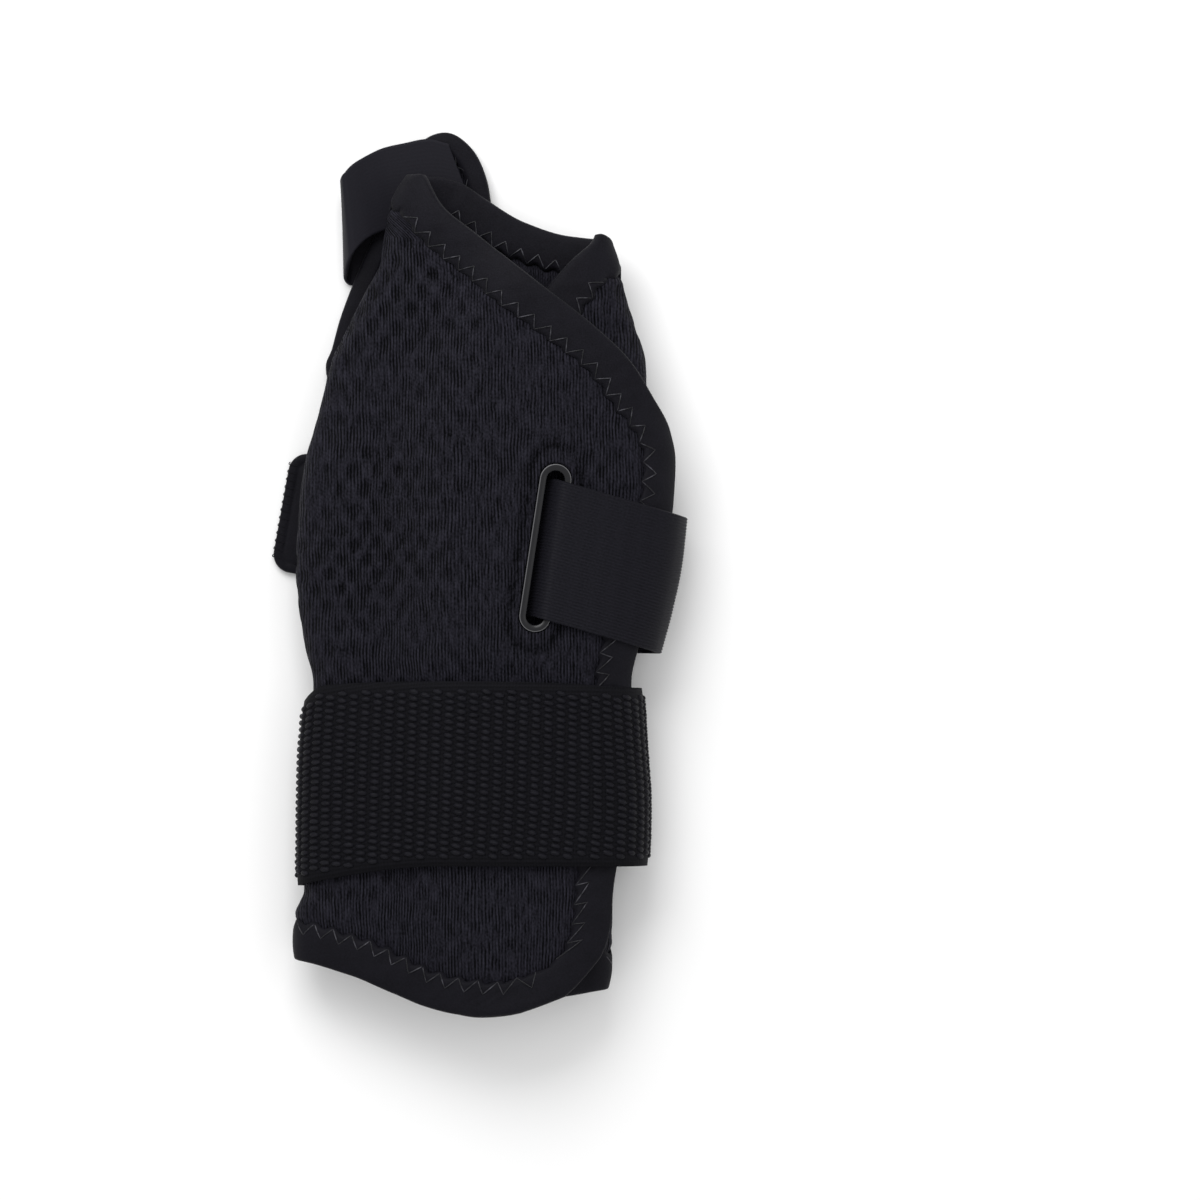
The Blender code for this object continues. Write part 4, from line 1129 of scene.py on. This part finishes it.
def wale_place(grid):
    """Metres across the cloth, kept upright along a plumb line on the underflap and on the front."""
    u = arc(grid, 1)
    starts = []
    for x, top in ((UNDER_PLUMB, slice(0, FOLD_START)), (FRONT_PLUMB, slice(FOLD_END, None))):
        at = np.array([np.interp(x, line[top, 0], part[top]) for line, part in zip(grid, u)])
        starts.append((at - at.mean())[:, None])
    over = ease((np.arange(grid.shape[1]) - FOLD_START) / TURN_CELLS)
    return u - starts[0] * (1 - over) - starts[1] * over


def slot_seam(grid, front):
    """Where the cloth lies flat beside the slot, and the pressed ring of its seam."""
    middle, short_way, long_way, _ = slot_frame()
    across = (grid - middle) @ short_way
    long = (grid - middle) @ long_way
    beside = np.hypot(across, np.maximum(np.abs(long) - SLOT_LENGTH / 2, 0.0))
    near = np.where(front, beside, 1.0)
    turn = np.arctan2(across, long) * 9 + long / 0.0021
    press = hump(near - SLOT_SEAM_REACH - 0.0003 * np.sin(turn * 2.3), SLOT_SEAM_WIDTH)
    press = press * (0.75 + 0.25 * np.sin(turn * 1.7)) * np.where(front, 1.0, 0.0)
    return ease((near - SLOT_FLAT_REACH) / SLOT_FLAT_RUN_OUT), press


def build_panel(grid, material):
    """The padded panel, with dimples in a diagonal lattice that fades to the right of its front."""
    out = directions(grid)
    ring = ring_number(*grid.shape[:2])
    weight = np.clip((ring - HEM_CELLS + 0.4) / RAMP_CELLS, 0.0, 1.0) * (ring >= HEM_CELLS)
    half = (HEM_WALL + (PANEL_WALL - HEM_WALL) * weight) / 2
    u = wale_place(grid)
    v = grid[:, :, 1] - BODY_LOW_END
    front = (np.arange(grid.shape[1]) > FOLD_END)[None, :]
    rng = np.random.default_rng(7)

    def drift(size, count=14):
        total = np.zeros_like(u)
        for _ in range(count):
            kx, ky = rng.normal(0, size, 2)
            total += np.sin(u * kx + v * ky + rng.uniform(0, math.tau))
        return total / math.sqrt(count / 2)

    line = (v + 0.0007 * drift(120)) / DIMPLE_ALONG
    shift = (u + 0.0005 * drift(120)) / DIMPLE_ACROSS
    one = np.cos(math.pi * (line + shift)) ** 2 * np.cos(math.pi * (line - shift)) ** 2
    inside = ease((ring - HEM_CELLS - 0.5) / 4.0)
    faded = DIMPLE_FADE * ease((grid[:, :, 0] - DIMPLE_FADE_FROM) / DIMPLE_FADE_RUN)
    strength = np.where(front, 1.0 - faded, DIMPLES_BEHIND)
    strength = strength * np.clip(0.78 + 0.30 * drift(85), 0.15, 1.25)
    flat_ring, press = slot_seam(grid, front)
    dent = ease((one - 0.10) / 0.55) * inside
    relief = -DIMPLE_DEPTH * dent * strength * flat_ring - SLOT_SEAM_DEPTH * press * inside
    relief = relief + SOFT_WAVES * drift(55) * inside
    outer = grid + out * (half + relief)[..., None]
    inner = grid - out * (half - 0.0001)[..., None]
    panel = shell("padded_panel", outer, inner, material, np.stack([u, v], axis=-1))
    # The finish also reads these for painted shade: darker colour in the dimples and in the pressed seam
    # ring
    for name, shown in (("dent", dent * strength * flat_ring), ("press", press * inside)):
        painted(panel, name, [shown, 0 * shown])
    return right_way_out(panel), out


def rings_body(name, rings, material, capped, uv=None):
    """A closed body through rings of points."""
    count = len(rings[0])
    points = np.concatenate(rings)
    faces = []
    for k in range(len(rings) - (1 if capped else 0)):
        a = k * count
        b = (k + 1) % len(rings) * count
        faces += [(a + i, a + (i + 1) % count, b + (i + 1) % count, b + i) for i in range(count)]
    if capped:
        faces += [tuple(range(count))[::-1], tuple(range(len(points) - count, len(points)))]
    return add_mesh(name, points, faces, material, uv)


def applied(obj):
    """Makes what the modifiers show the object's own mesh."""
    graph = bpy.context.evaluated_depsgraph_get()
    shape = bpy.data.meshes.new_from_object(obj.evaluated_get(graph), depsgraph=graph)
    obj.modifiers.clear()
    obj.data = shape
    shape.shade_smooth()
    return obj


def taped(obj):
    """Gives a folded sheet the tape's thickness."""
    thick = obj.modifiers.new("Tape", "SOLIDIFY")
    thick.thickness = BINDING_TAPE
    thick.offset = 0.0
    return right_way_out(applied(obj))


def cut_slot(panel, material):
    """Cuts the slot, with a recess for the rim's flange on both faces."""
    place = slot_frame()
    reach = PANEL_WALL / 2 + HEM_LAYER_GAP
    hole = RIM_BARREL + GAP
    recess = RIM_BARREL + RIM_FLANGE + GAP
    seat = RIM_HALF_HEIGHT - RIM_FLANGE_WALL - GAP
    levels = ((recess, -reach), (recess, -seat), (hole, -seat))
    levels += tuple((margin, -height) for margin, height in levels[::-1])
    rings = [placed(place, slot_oval(margin), height) for margin, height in levels]
    cutter = right_way_out(rings_body("slot_cutter", rings, material, True))
    cut = panel.modifiers.new("Slot", "BOOLEAN")
    cut.operation = "DIFFERENCE"
    cut.solver = "EXACT"
    cut.object = cutter
    applied(panel)
    bpy.data.objects.remove(cutter)


def build_binding(grid, out, material):
    """Tape folded over the panel's edge, puffed between the stitches and scalloped at its inner side."""
    rows, columns = grid.shape[:2]
    ring = ring_number(rows, columns)
    row, column = np.indices((rows, columns))
    side = np.stack([row, columns - 1 - column, rows - 1 - row, column]).argmin(axis=0)
    phase = np.zeros((rows, columns))
    for number, at in enumerate(edge_stations(grid)):
        turns = np.interp(column if number in (0, 2) else row, at, np.arange(len(at)))
        phase = np.where(side == number, np.cos(math.pi * turns), phase)
    reach = np.clip(ring / HEM_CELLS, 0.0, 1.0)
    scallop = TAPE_SCALLOP * phase * ease((reach - 0.7) / 0.3) * (ring <= HEM_CELLS)
    ways = (np.gradient(grid, axis=axis) for axis in (0, 1))
    by_row, by_column = (way / np.linalg.norm(way, axis=2, keepdims=True) for way in ways)
    sides = [(side == k)[..., None] for k in range(4)]
    inwards = np.select(sides, [by_row, -by_column, -by_row, by_column])
    base = grid + inwards * scallop[..., None]
    height = BINDING_MID - 0.00004 + tape_puff(reach) * (0.75 - 0.25 * phase) - tape_fall(reach)
    lift = out * height[..., None]
    points = [(base + lift).reshape(-1, 3), (base - lift).reshape(-1, 3)]

    # The tape's turn round the edge, which starts and ends on the two faces
    index = np.arange(rows * columns).reshape(rows, columns)
    edge = np.concatenate([index[0, :-1], index[:-1, -1], index[-1, :0:-1], index[:0:-1, 0]])
    flat = grid.reshape(-1, 3)[edge]
    outs = out.reshape(-1, 3)[edge]
    away = np.cross(np.roll(flat, -1, axis=0) - np.roll(flat, 1, axis=0), outs)
    away /= np.linalg.norm(away, axis=1, keepdims=True)
    if np.sum(away[columns // 2] * inwards[0, columns // 2]) > 0:
        away = -away
    width = BINDING_EASE + BINDING_TAPE / 2
    lines = [edge]
    for turn in np.radians(TAPE_TURNS):
        lines.append(sum(len(part) for part in points) + np.arange(len(edge)))
        points.append(flat + away * (width * math.cos(turn)) + outs * (BINDING_MID * math.sin(turn)))
    lines.append(edge + rows * columns)
    cells = grid_cells(rows, columns)[ring_number(rows - 1, columns - 1) < HEM_CELLS]
    faces = [cells, cells[:, ::-1] + rows * columns]
    for first, second in zip(lines[:-1], lines[1:]):
        faces.append(np.stack([first, second, np.roll(second, -1), np.roll(first, -1)], axis=-1))
    faces = np.concatenate(faces)
    used = np.unique(faces)
    points = np.concatenate(points)
    renumber = np.zeros(len(points), int)
    renumber[used] = np.arange(len(used))
    binding = add_mesh("edge_binding", points[used], renumber[faces].tolist(), material)
    return taped(right_way_out(binding))


def refined(rows, stations, across):
    """A coarse band of points as a fine one, and the lengths of its stations."""
    rows = np.asarray(rows, float)
    length = run_length(rows.mean(axis=1))
    at = np.linspace(0.0, length[-1], stations)
    rows[1:-1] = rows[1:-1] * 0.8 + (rows[:-2] + rows[2:]) * 0.1
    fine = smooth(length, rows, at).reshape(stations, rows.shape[1], 3)
    shares = np.linspace(0.0, 1.0, rows.shape[1])
    fine = smooth(shares, np.moveaxis(fine, 1, 0), np.linspace(0.0, 1.0, across))
    return fine.reshape(across, stations, 3), at


def band(name, grid, wall, above, below, material):
    """A strap: a closed body either side of its middle surface."""
    out = directions(grid)
    uv = np.stack([arc(grid, 1), arc(grid, 0)], axis=-1)
    rows = grid.shape[0]
    edge = np.minimum(np.arange(rows), np.arange(rows)[::-1]) / 2.0
    round_off = np.where(edge < 1.0, 0.55 + 0.45 * ease(edge), 1.0)[:, None]
    outer = grid + out * ((wall / 2 + above) * round_off)[..., None]
    inner = grid - out * ((wall / 2 + below) * round_off)[..., None]
    return right_way_out(shell(name, outer, inner, material, uv)), out


def wrist_rows():
    """Rows across the wrist webbing, from its lapped end over the front to its start inside the lap."""
    close = GAP + WRIST_WEBBING_WALL / 2
    behind = PANEL_WALL / 2 + close
    inner = BINDING_HALF + GAP + close
    outer = BODY_REST + PANEL_WALL / 2 - WRIST_WEBBING_WALL / 2
    rows = []
    for turn in np.linspace(WRIST_END, WRIST_START, 90):
        low = float(WRIST_EDGES("low", turn))
        high = float(WRIST_EDGES("high", turn))
        dropped = float(ease((turn - WRIST_DROP) / (WRIST_DROPPED - WRIST_DROP)))
        begun = float(ease((turn - WRIST_START) / -WRIST_START))
        near = behind + (inner - behind) * begun
        out = near + (outer - near) * dropped
        lowest = BODY_REST - close if turn < WRIST_DROP else WRIST_WEBBING_WALL / 2
        row = []
        for share in np.linspace(0.0, 1.0, STRAP_ROWS):
            up = low + (high - low) * share
            x, z = wrapped(up, turn * math.pi, out, lowest)
            leaning = ease((x - WEBBING_LEAN_FROM) / WEBBING_LEAN_RUN)
            x += (WEBBING_LEAN_LOW - WEBBING_LEAN_TURN * share) * leaning
            row.append((x, y_of(up), z))
        rows.append(row)
    return rows


def euler_of(m):
    """XYZ angles of a turn."""
    y = -math.asin(max(-1.0, min(1.0, m[2, 0])))
    return math.atan2(m[2, 1], m[2, 2]), y, math.atan2(m[1, 0], m[0, 0])


def build_wrist_strap(ground, material):
    """The wrist webbing, and its yarn floats in staggered columns between two plain selvedges."""
    grid, length = refined(wrist_rows(), 360, 30)
    wall = WRIST_WEBBING_WALL - 0.0007
    strap, out = band("wrist_webbing", grid, wall, 0.0, 0.0003, ground)
    widths = arc(grid, 0)[-1]
    by_column = np.gradient(grid, axis=1)
    columns = int(round(length[-1] / FLOAT_ALONG))
    points, turns, sizes = [], [], []
    rng = np.random.default_rng(11)
    for n in range(columns):
        j = (n + 0.5) / columns * (grid.shape[1] - 1)
        width = float(np.interp(j, np.arange(grid.shape[1]), widths))
        count = int(round((width - 2 * SELVEDGE) / FLOAT_ACROSS))
        pitch = (width - 2 * SELVEDGE) / count
        for m in range(count):
            at = SELVEDGE + (m + (0.5 if n % 2 else 0.0) + 0.25) * pitch
            if at > width - SELVEDGE * 0.8:
                continue
            place = (np.array([at / width * (grid.shape[0] - 1)]), np.array([j]))
            normal = in_grid(out, *place)[0]
            along = in_grid(by_column, *place)[0]
            along = unit(along - normal * along.dot(normal))
            lean = 0.20 + rng.normal(0, 0.03)
            along = unit(along * math.cos(lean) - np.cross(normal, along) * math.sin(lean))
            points.append(in_grid(grid, *place)[0] + normal * (wall / 2 - 0.00005))
            turns.append(euler_of(np.stack([along, np.cross(normal, along), normal], axis=1)))
            sizes.append([rng.normal(1.0, spread) for spread in (0.04, 0.03, 0.06)])
    values = {"Half Length": FLOAT_ALONG * 0.46, "Half Width": pitch * 0.42}
    values.update({"Height": FLOAT_HEIGHT, "Finish": material})
    attributes = (("turn", turns), ("grow", sizes))
    return strap, grown("webbing_floats", points, [], FLOAT_TREE, values, attributes), grid


def build_hand_strap(material):
    """Elastic strap with ribs along it, each a real ridge."""
    ribs = int(round(HAND_STRAP_WIDTH / RIB_PITCH))
    grid, _ = refined(hand_strap_rows(), 210, ribs * 5 + 1)
    share = np.linspace(0.0, 1.0, grid.shape[0])
    ridge = np.abs(np.sin(math.pi * share * ribs)) ** 0.7 - 0.6
    ridge = np.broadcast_to(ridge[:, None], grid.shape[:2])
    wander = 1 + 0.15 * np.sin(np.arange(grid.shape[1]) * 0.9)[None, :]
    above = RIB_HEIGHT * ridge * 1.6 * wander
    wall = HAND_STRAP_WALL - 2 * RIB_HEIGHT
    strap, _ = band("hand_elastic", grid, wall, above, RIB_HEIGHT * ridge, material)
    return strap, grid


def tab_place():
    """The middle of the tab's outer end, and its turn in the plane it lies in."""
    end_x = TAB_END_ACROSS * BODY_WIDTH
    back_x = BODY_WIDTH * SLICES("right", STRAP_FOLD_UP) - end_x
    up = STRAP_FOLD_UP + back_x * math.tan(HAND_STRAP_BACK_SLOPE) / BODY_LENGTH
    slope = -HAND_STRAP_BACK_SLOPE
    turn = np.array([[math.cos(slope), math.sin(slope)], [-math.sin(slope), math.cos(slope)]])
    shift_x, shift_y = TAB_SHIFT
    return np.array([end_x + shift_x, y_of(up) + shift_y]), turn


def tab_outline(inset):
    """The tab's outline with round corners, drawn in by an inset."""
    start, turn = tab_place()
    round_by = TAB_CORNER - inset
    places = []
    for side_x, side_y, first in ((1, 1, 0), (0, 1, 1), (0, 0, 2), (1, 0, 3)):
        middle_x = TAB_CORNER + side_x * (TAB_LENGTH - 2 * TAB_CORNER)
        middle_y = (side_y - 0.5) * (TAB_WIDTH - 2 * TAB_CORNER)
        for k in range(13):
            angle = (first + k / 12) * math.pi / 2
            places.append((middle_x + round_by * math.cos(angle), middle_y + round_by * math.sin(angle)))
    return start + np.array(places) @ turn


def whip_stitch(y):
    """One stitch over the tab's outer end: back along its top, then down its edge."""
    run = []
    for part in np.linspace(0.3, 2.0, 9):
        down = part - 1
        if part < 1:
            run.append((WHIP_REACH - WHIP_REACH * part, y, TAB_WALL + THREAD_RADIUS * 0.4))
        else:
            out = -0.00015 * math.sin(down * math.pi)
            run.append((out, y + 0.0007 * down, TAB_WALL * (1 - down) + THREAD_RADIUS))
    return np.array(run)


def build_tab(material, thread):
    """Fastening tab with a rounded edge, a pressed line round its face and stitches."""
    half = TAB_WALL / 2
    rings = []
    for a in np.linspace(math.pi / 2, -math.pi / 2, 9):
        inset = TAB_ROUNDING - TAB_ROUNDING * math.cos(a)
        rings.append(at_height(tab_outline(inset), half - half * math.sin(a)))
    for inset, depth in zip(TAB_SEAM, (0.0, TAB_SEAM_DEPTH, 0.0)):
        rings.append(at_height(tab_outline(inset), TAB_WALL - depth))
    tab = right_way_out(rings_body("fastening_tab", rings, material, True))
    first = -TAB_WIDTH / 2 + TAB_CORNER * 0.7
    runs = [whip_stitch(y) for y in np.arange(first, TAB_WIDTH / 2 - TAB_CORNER * 0.6, WHIP_PITCH)]
    xs = np.arange(0.006, TAB_LENGTH - 0.004, 0.0007)
    wave = TAB_WALL - 0.0001 + THREAD_RADIUS * np.sin(xs / TAB_RUN_PITCH * math.tau)
    for side in (-1, 1):
        runs.append(np.column_stack([xs, side * (TAB_WIDTH / 2 - TAB_RUN_INSET) + 0 * xs, wave]))
    start, turn = tab_place()
    runs = [np.column_stack([start + run[:, :2] @ turn, run[:, 2]]) for run in runs]
    return tab, threads("tab_stitches", runs, THREAD_RADIUS * 0.8, thread)


def build_rim(material):
    """Slot rim: two round flanges on a barrel."""
    place = slot_frame()
    flange = RIM_BARREL + RIM_FLANGE
    top = RIM_HALF_HEIGHT
    wall = RIM_FLANGE_WALL
    profile = [(0.0, -top + wall * 0.4), (wall * 0.3, -top)]
    for side in (-1, 1):
        middle = side * (top - wall / 2)
        for turn in np.linspace(-math.pi / 2, math.pi / 2, 7):
            margin = flange - wall / 2 + wall / 2 * math.cos(turn)
            profile.append((margin, middle + wall / 2 * math.sin(turn)))
        if side < 0:
            profile += [(RIM_BARREL, -top + wall), (RIM_BARREL, top - wall)]
    profile += [(wall * 0.3, top), (0.0, top - wall * 0.4)]
    rings = [placed(place, slot_oval(margin, 21), height) for margin, height in profile]
    rim = rings_body("slot_eyelet", rings, material, False)
    # Marks the upper flange's outer top edge, where the finish paints a pale grey highlight
    crest = [flange - wall / 2 < margin < flange and height > top - wall / 2 for margin, height in profile]
    painted(rim, "crest", np.repeat(crest, len(rings[0])))
    return right_way_out(rim)


def build_thumb_strap(material):
    """Elastic band of the thumb loop, in front of the tongue and back behind it."""
    rows = []
    behind = THUMB_STRAP_WALL / 2
    for along in np.linspace(0.0, 1.0, 60):
        value = {name: float(THUMB_LOOP(name, along)) for name in THUMB_LOOP.columns}
        height = behind + value["lift"] * (THUMB_FRONT_MID - behind) + value["arch"] * THUMB_LOOP_ARCH
        row = []
        for share in np.linspace(0.0, 1.0, STRAP_ROWS):
            x = value["low_x"] + (value["high_x"] - value["low_x"]) * share
            up = value["low_up"] + (value["high_up"] - value["low_up"]) * share
            row.append((x * BODY_WIDTH, y_of(up), height))
        rows.append(row)
    grid, _ = refined(rows, 220, 90)
    share = np.linspace(0.0, 1.0, grid.shape[0])
    ridge = 0.00001 * np.sin(share * 44 * math.pi)[:, None] * np.ones(grid.shape[1])
    strap, _ = band("thumb_elastic", grid, THUMB_STRAP_WALL - 0.00006, ridge, ridge, material)
    return strap, grid


def build_tongue(material):
    """Padded tongue: full in the middle, pressed to a thin hem under its tape."""
    edge = tongue_edge()
    into = inward(edge)
    hem = HEM_WALL / 2
    full = TONGUE_WALL / 2
    flat = TONGUE_BINDING_DEPTH + BINDING_TAPE
    middle = edge.mean(axis=0)
    innermost = edge + into * (flat + full - hem)
    ramp = edge + into * (flat + (full - hem) * 0.4)
    steps = [(middle + (innermost - middle) * s, full) for s in (0.03, 0.15, 0.3, 0.45, 0.6, 0.75, 0.88)]
    steps += [(innermost, full), (ramp, full * 0.6 + hem * 0.4), (edge + into * flat, hem), (edge, hem)]
    rings = [at_height(ring, TONGUE_MID - height) for ring, height in steps]
    rings += [at_height(ring, TONGUE_MID + height) for ring, height in steps[::-1]]
    return right_way_out(rings_body("thumb_pad", rings, material, True, np.concatenate(rings)[:, :2]))


def build_tongue_binding(material):
    """Tape folded over the tongue's edge."""
    edge = tongue_edge()
    into = inward(edge)
    turn = BINDING_EASE + BINDING_TAPE / 2
    profile = [(TONGUE_BINDING_DEPTH * share, BINDING_MID) for share in (1.0, 0.66, 0.33, 0.0)]
    back = [(inset, -height) for inset, height in profile[::-1]]
    for a in np.radians(TAPE_TURNS):
        profile.append((-turn * math.cos(a), BINDING_MID * math.sin(a)))
    profile += back
    columns = []
    for k, (inset, height) in enumerate(profile):
        puff = 0.00012 if k in (1, 2, 10, 11) else 0.0
        columns.append(at_height(edge + into * inset, TONGUE_MID + height + puff * np.sign(height)))
    grid = np.stack(columns)
    index = np.arange(grid.shape[0] * len(edge)).reshape(grid.shape[0], len(edge))
    after = np.roll(index, -1, axis=1)
    faces = np.stack([index[:-1], after[:-1], after[1:], index[1:]], axis=-1).reshape(-1, 4)
    binding = add_mesh("thumb_pad_binding", grid.reshape(-1, 3), faces.tolist(), material)
    return taped(right_way_out(binding))


def tongue_stitches(thread):
    """Zigzag thread over the inner side of the tongue's tape, on both faces."""
    edge = tongue_edge()
    loop, into = (np.concatenate([line, line[:1]]) for line in (edge, inward(edge)))
    length = run_length(loop)
    pieces = 2 * int(round(length[-1] / TONGUE_ZIGZAG / 2))
    turns = np.arange(pieces + 1)
    fine = np.linspace(0, pieces, 3 * pieces + 1)
    at = fine / pieces * length[-1]
    swing = np.interp(fine, turns, np.where(turns % 2 == 0, 1.0, -1.0))
    inset = TONGUE_BINDING_DEPTH - 0.0002 + 0.0011 * swing
    line = read_line(at, length, loop) + read_line(at, length, into) * inset[:, None]
    lift = BINDING_HALF - 0.00004
    runs = [at_height(line, TONGUE_MID + side * lift) for side in (-1, 1)]
    return threads("thumb_pad_stitches", runs, THREAD_RADIUS * 0.62, thread)


def moved(obj, shift):
    """Moves the mesh itself, and keeps it on or over the ground."""
    places = np.empty(len(obj.data.vertices) * 3, np.float32)
    obj.data.vertices.foreach_get("co", places)
    places = places.reshape(-1, 3) + np.asarray(shift, np.float32)
    places[:, 2] = np.maximum(places[:, 2], 0.0)
    obj.data.vertices.foreach_set("co", places.reshape(-1))
    obj.data.update()


KNIT = knit_finish()
TAPE = tape_finish("binding_tape")
HOOK = tape_finish("hook_tape")
WEBBING = webbing_finish()
RIBS_PER_METRE = (0.0, 1 / RIB_PITCH)
RIBBED = plain_finish("ribbed_elastic", RIBBED_DARK, RIBBED_LIGHT, (0.55, 0.01), RIBS_PER_METRE, 0.00004)
SMOOTH = plain_finish("smooth_elastic", SMOOTH_DARK, SMOOTH_LIGHT, (0.6, 0.02), (0.0, 0.0), 0.00003)
GROUND = plain_finish("webbing_ground", GROUND_DARK, GROUND_LIGHT, (0.7, 0.01), (1200.0, 900.0), 0.00008)
THREAD = thread_finish()
RIM = plastic_finish()
THREAD_TREE = thread_tree()
FLOAT_TREE = float_tree()

panel_points = panel_grid()
panel, panel_out = build_panel(panel_points, KNIT)
cut_slot(panel, KNIT)
binding = build_binding(panel_points, panel_out, TAPE)
stitch_runs = [run for face in (1, -1) for run in zigzag_runs(panel_points, panel_out, face)]
stitches = threads("edge_stitches", stitch_runs, THREAD_RADIUS, THREAD)
wrist_strap, wrist_floats, wrist_grid = build_wrist_strap(GROUND, WEBBING)
hand_strap, hand_grid = build_hand_strap(RIBBED)
tab, tab_thread = build_tab(HOOK, TAPE)
rim = build_rim(RIM)
thumb_strap, thumb_grid = build_thumb_strap(SMOOTH)
tongue = build_tongue(KNIT)
tongue_binding = build_tongue_binding(TAPE)
tongue_thread = tongue_stitches(THREAD)

pieces = (
    (panel, "body_panel", "spacer_mesh"),
    (binding, "panel_binding", "binding_tape"),
    (stitches, None, "binding_tape"),
    (wrist_strap, "wrist_strap", "woven_webbing"),
    (wrist_floats, None, "woven_webbing"),
    (hand_strap, "hand_strap", "ribbed_elastic"),
    (tab, "hand_strap_tab", "hook_tape"),
    (tab_thread, None, "binding_tape"),
    (rim, "slot_rim", "rim_plastic"),
    (thumb_strap, "thumb_strap", "smooth_elastic"),
    (tongue, "thumb_tongue", "spacer_mesh"),
    (tongue_binding, "tongue_binding", "binding_tape"),
    (tongue_thread, None, "binding_tape"),
)

# The solids stand a little to one side of the frame these sizes are in
rim_low, rim_high = (np.array(tuple(corner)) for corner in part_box("slot_rim"))
SHIFT = (rim_low + rim_high) / 2 - slot_frame()[0]
SHIFT[2] = 0.0
for piece, node, slot in pieces:
    moved(piece, SHIFT)
    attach(piece, "root")
    if node:
        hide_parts(node)


# Floor, light and camera

floor_mesh = bpy.data.meshes.new("floor")
corners = [(3.0 * x, 3.0 * y, 0) for x, y in ((-1, -1), (1, -1), (1, 1), (-1, 1))]
floor_mesh.from_pydata(corners, [], [(0, 1, 2, 3)])
floor_mesh.materials.append(floor_finish())
floor = in_scene("floor", floor_mesh)

world = bpy.data.worlds.new("studio")
world.use_nodes = True
world.node_tree.nodes["Background"].inputs["Color"].default_value = (1.0, 1.0, 1.0, 1.0)
world.node_tree.nodes["Background"].inputs["Strength"].default_value = 0.84
bpy.context.scene.world = world
bpy.context.scene.view_settings.view_transform = "Standard"


def soft_light(name, place, size, power):
    """A rectangular light that faces the wrap."""
    light = bpy.data.lights.new(name, "AREA")
    light.shape = "RECTANGLE"
    light.size, light.size_y = size
    light.energy = power
    obj = in_scene(name, light)
    obj.location = place
    aim = unit(-np.array(place))
    obj.rotation_euler = (math.acos(-aim[2]), 0.0, math.atan2(-aim[0], aim[1]))


soft_light("top_softbox", (-0.15, 0.45, 0.50), (0.5, 0.4), 3.2)
soft_light("right_softbox", (0.7, 0.1, 0.7), (0.5, 0.6), 0.5)

lens = bpy.data.cameras.new("camera")
lens.sensor_width = SENSOR
lens.lens = SENSOR * CAMERA_HEIGHT / PHOTO_SIDE
lens.clip_start = 0.1
camera = in_scene("camera", lens)
camera.location = (AIM[0] + SHIFT[0], AIM[1] + SHIFT[1], CAMERA_HEIGHT)
bpy.context.scene.camera = camera
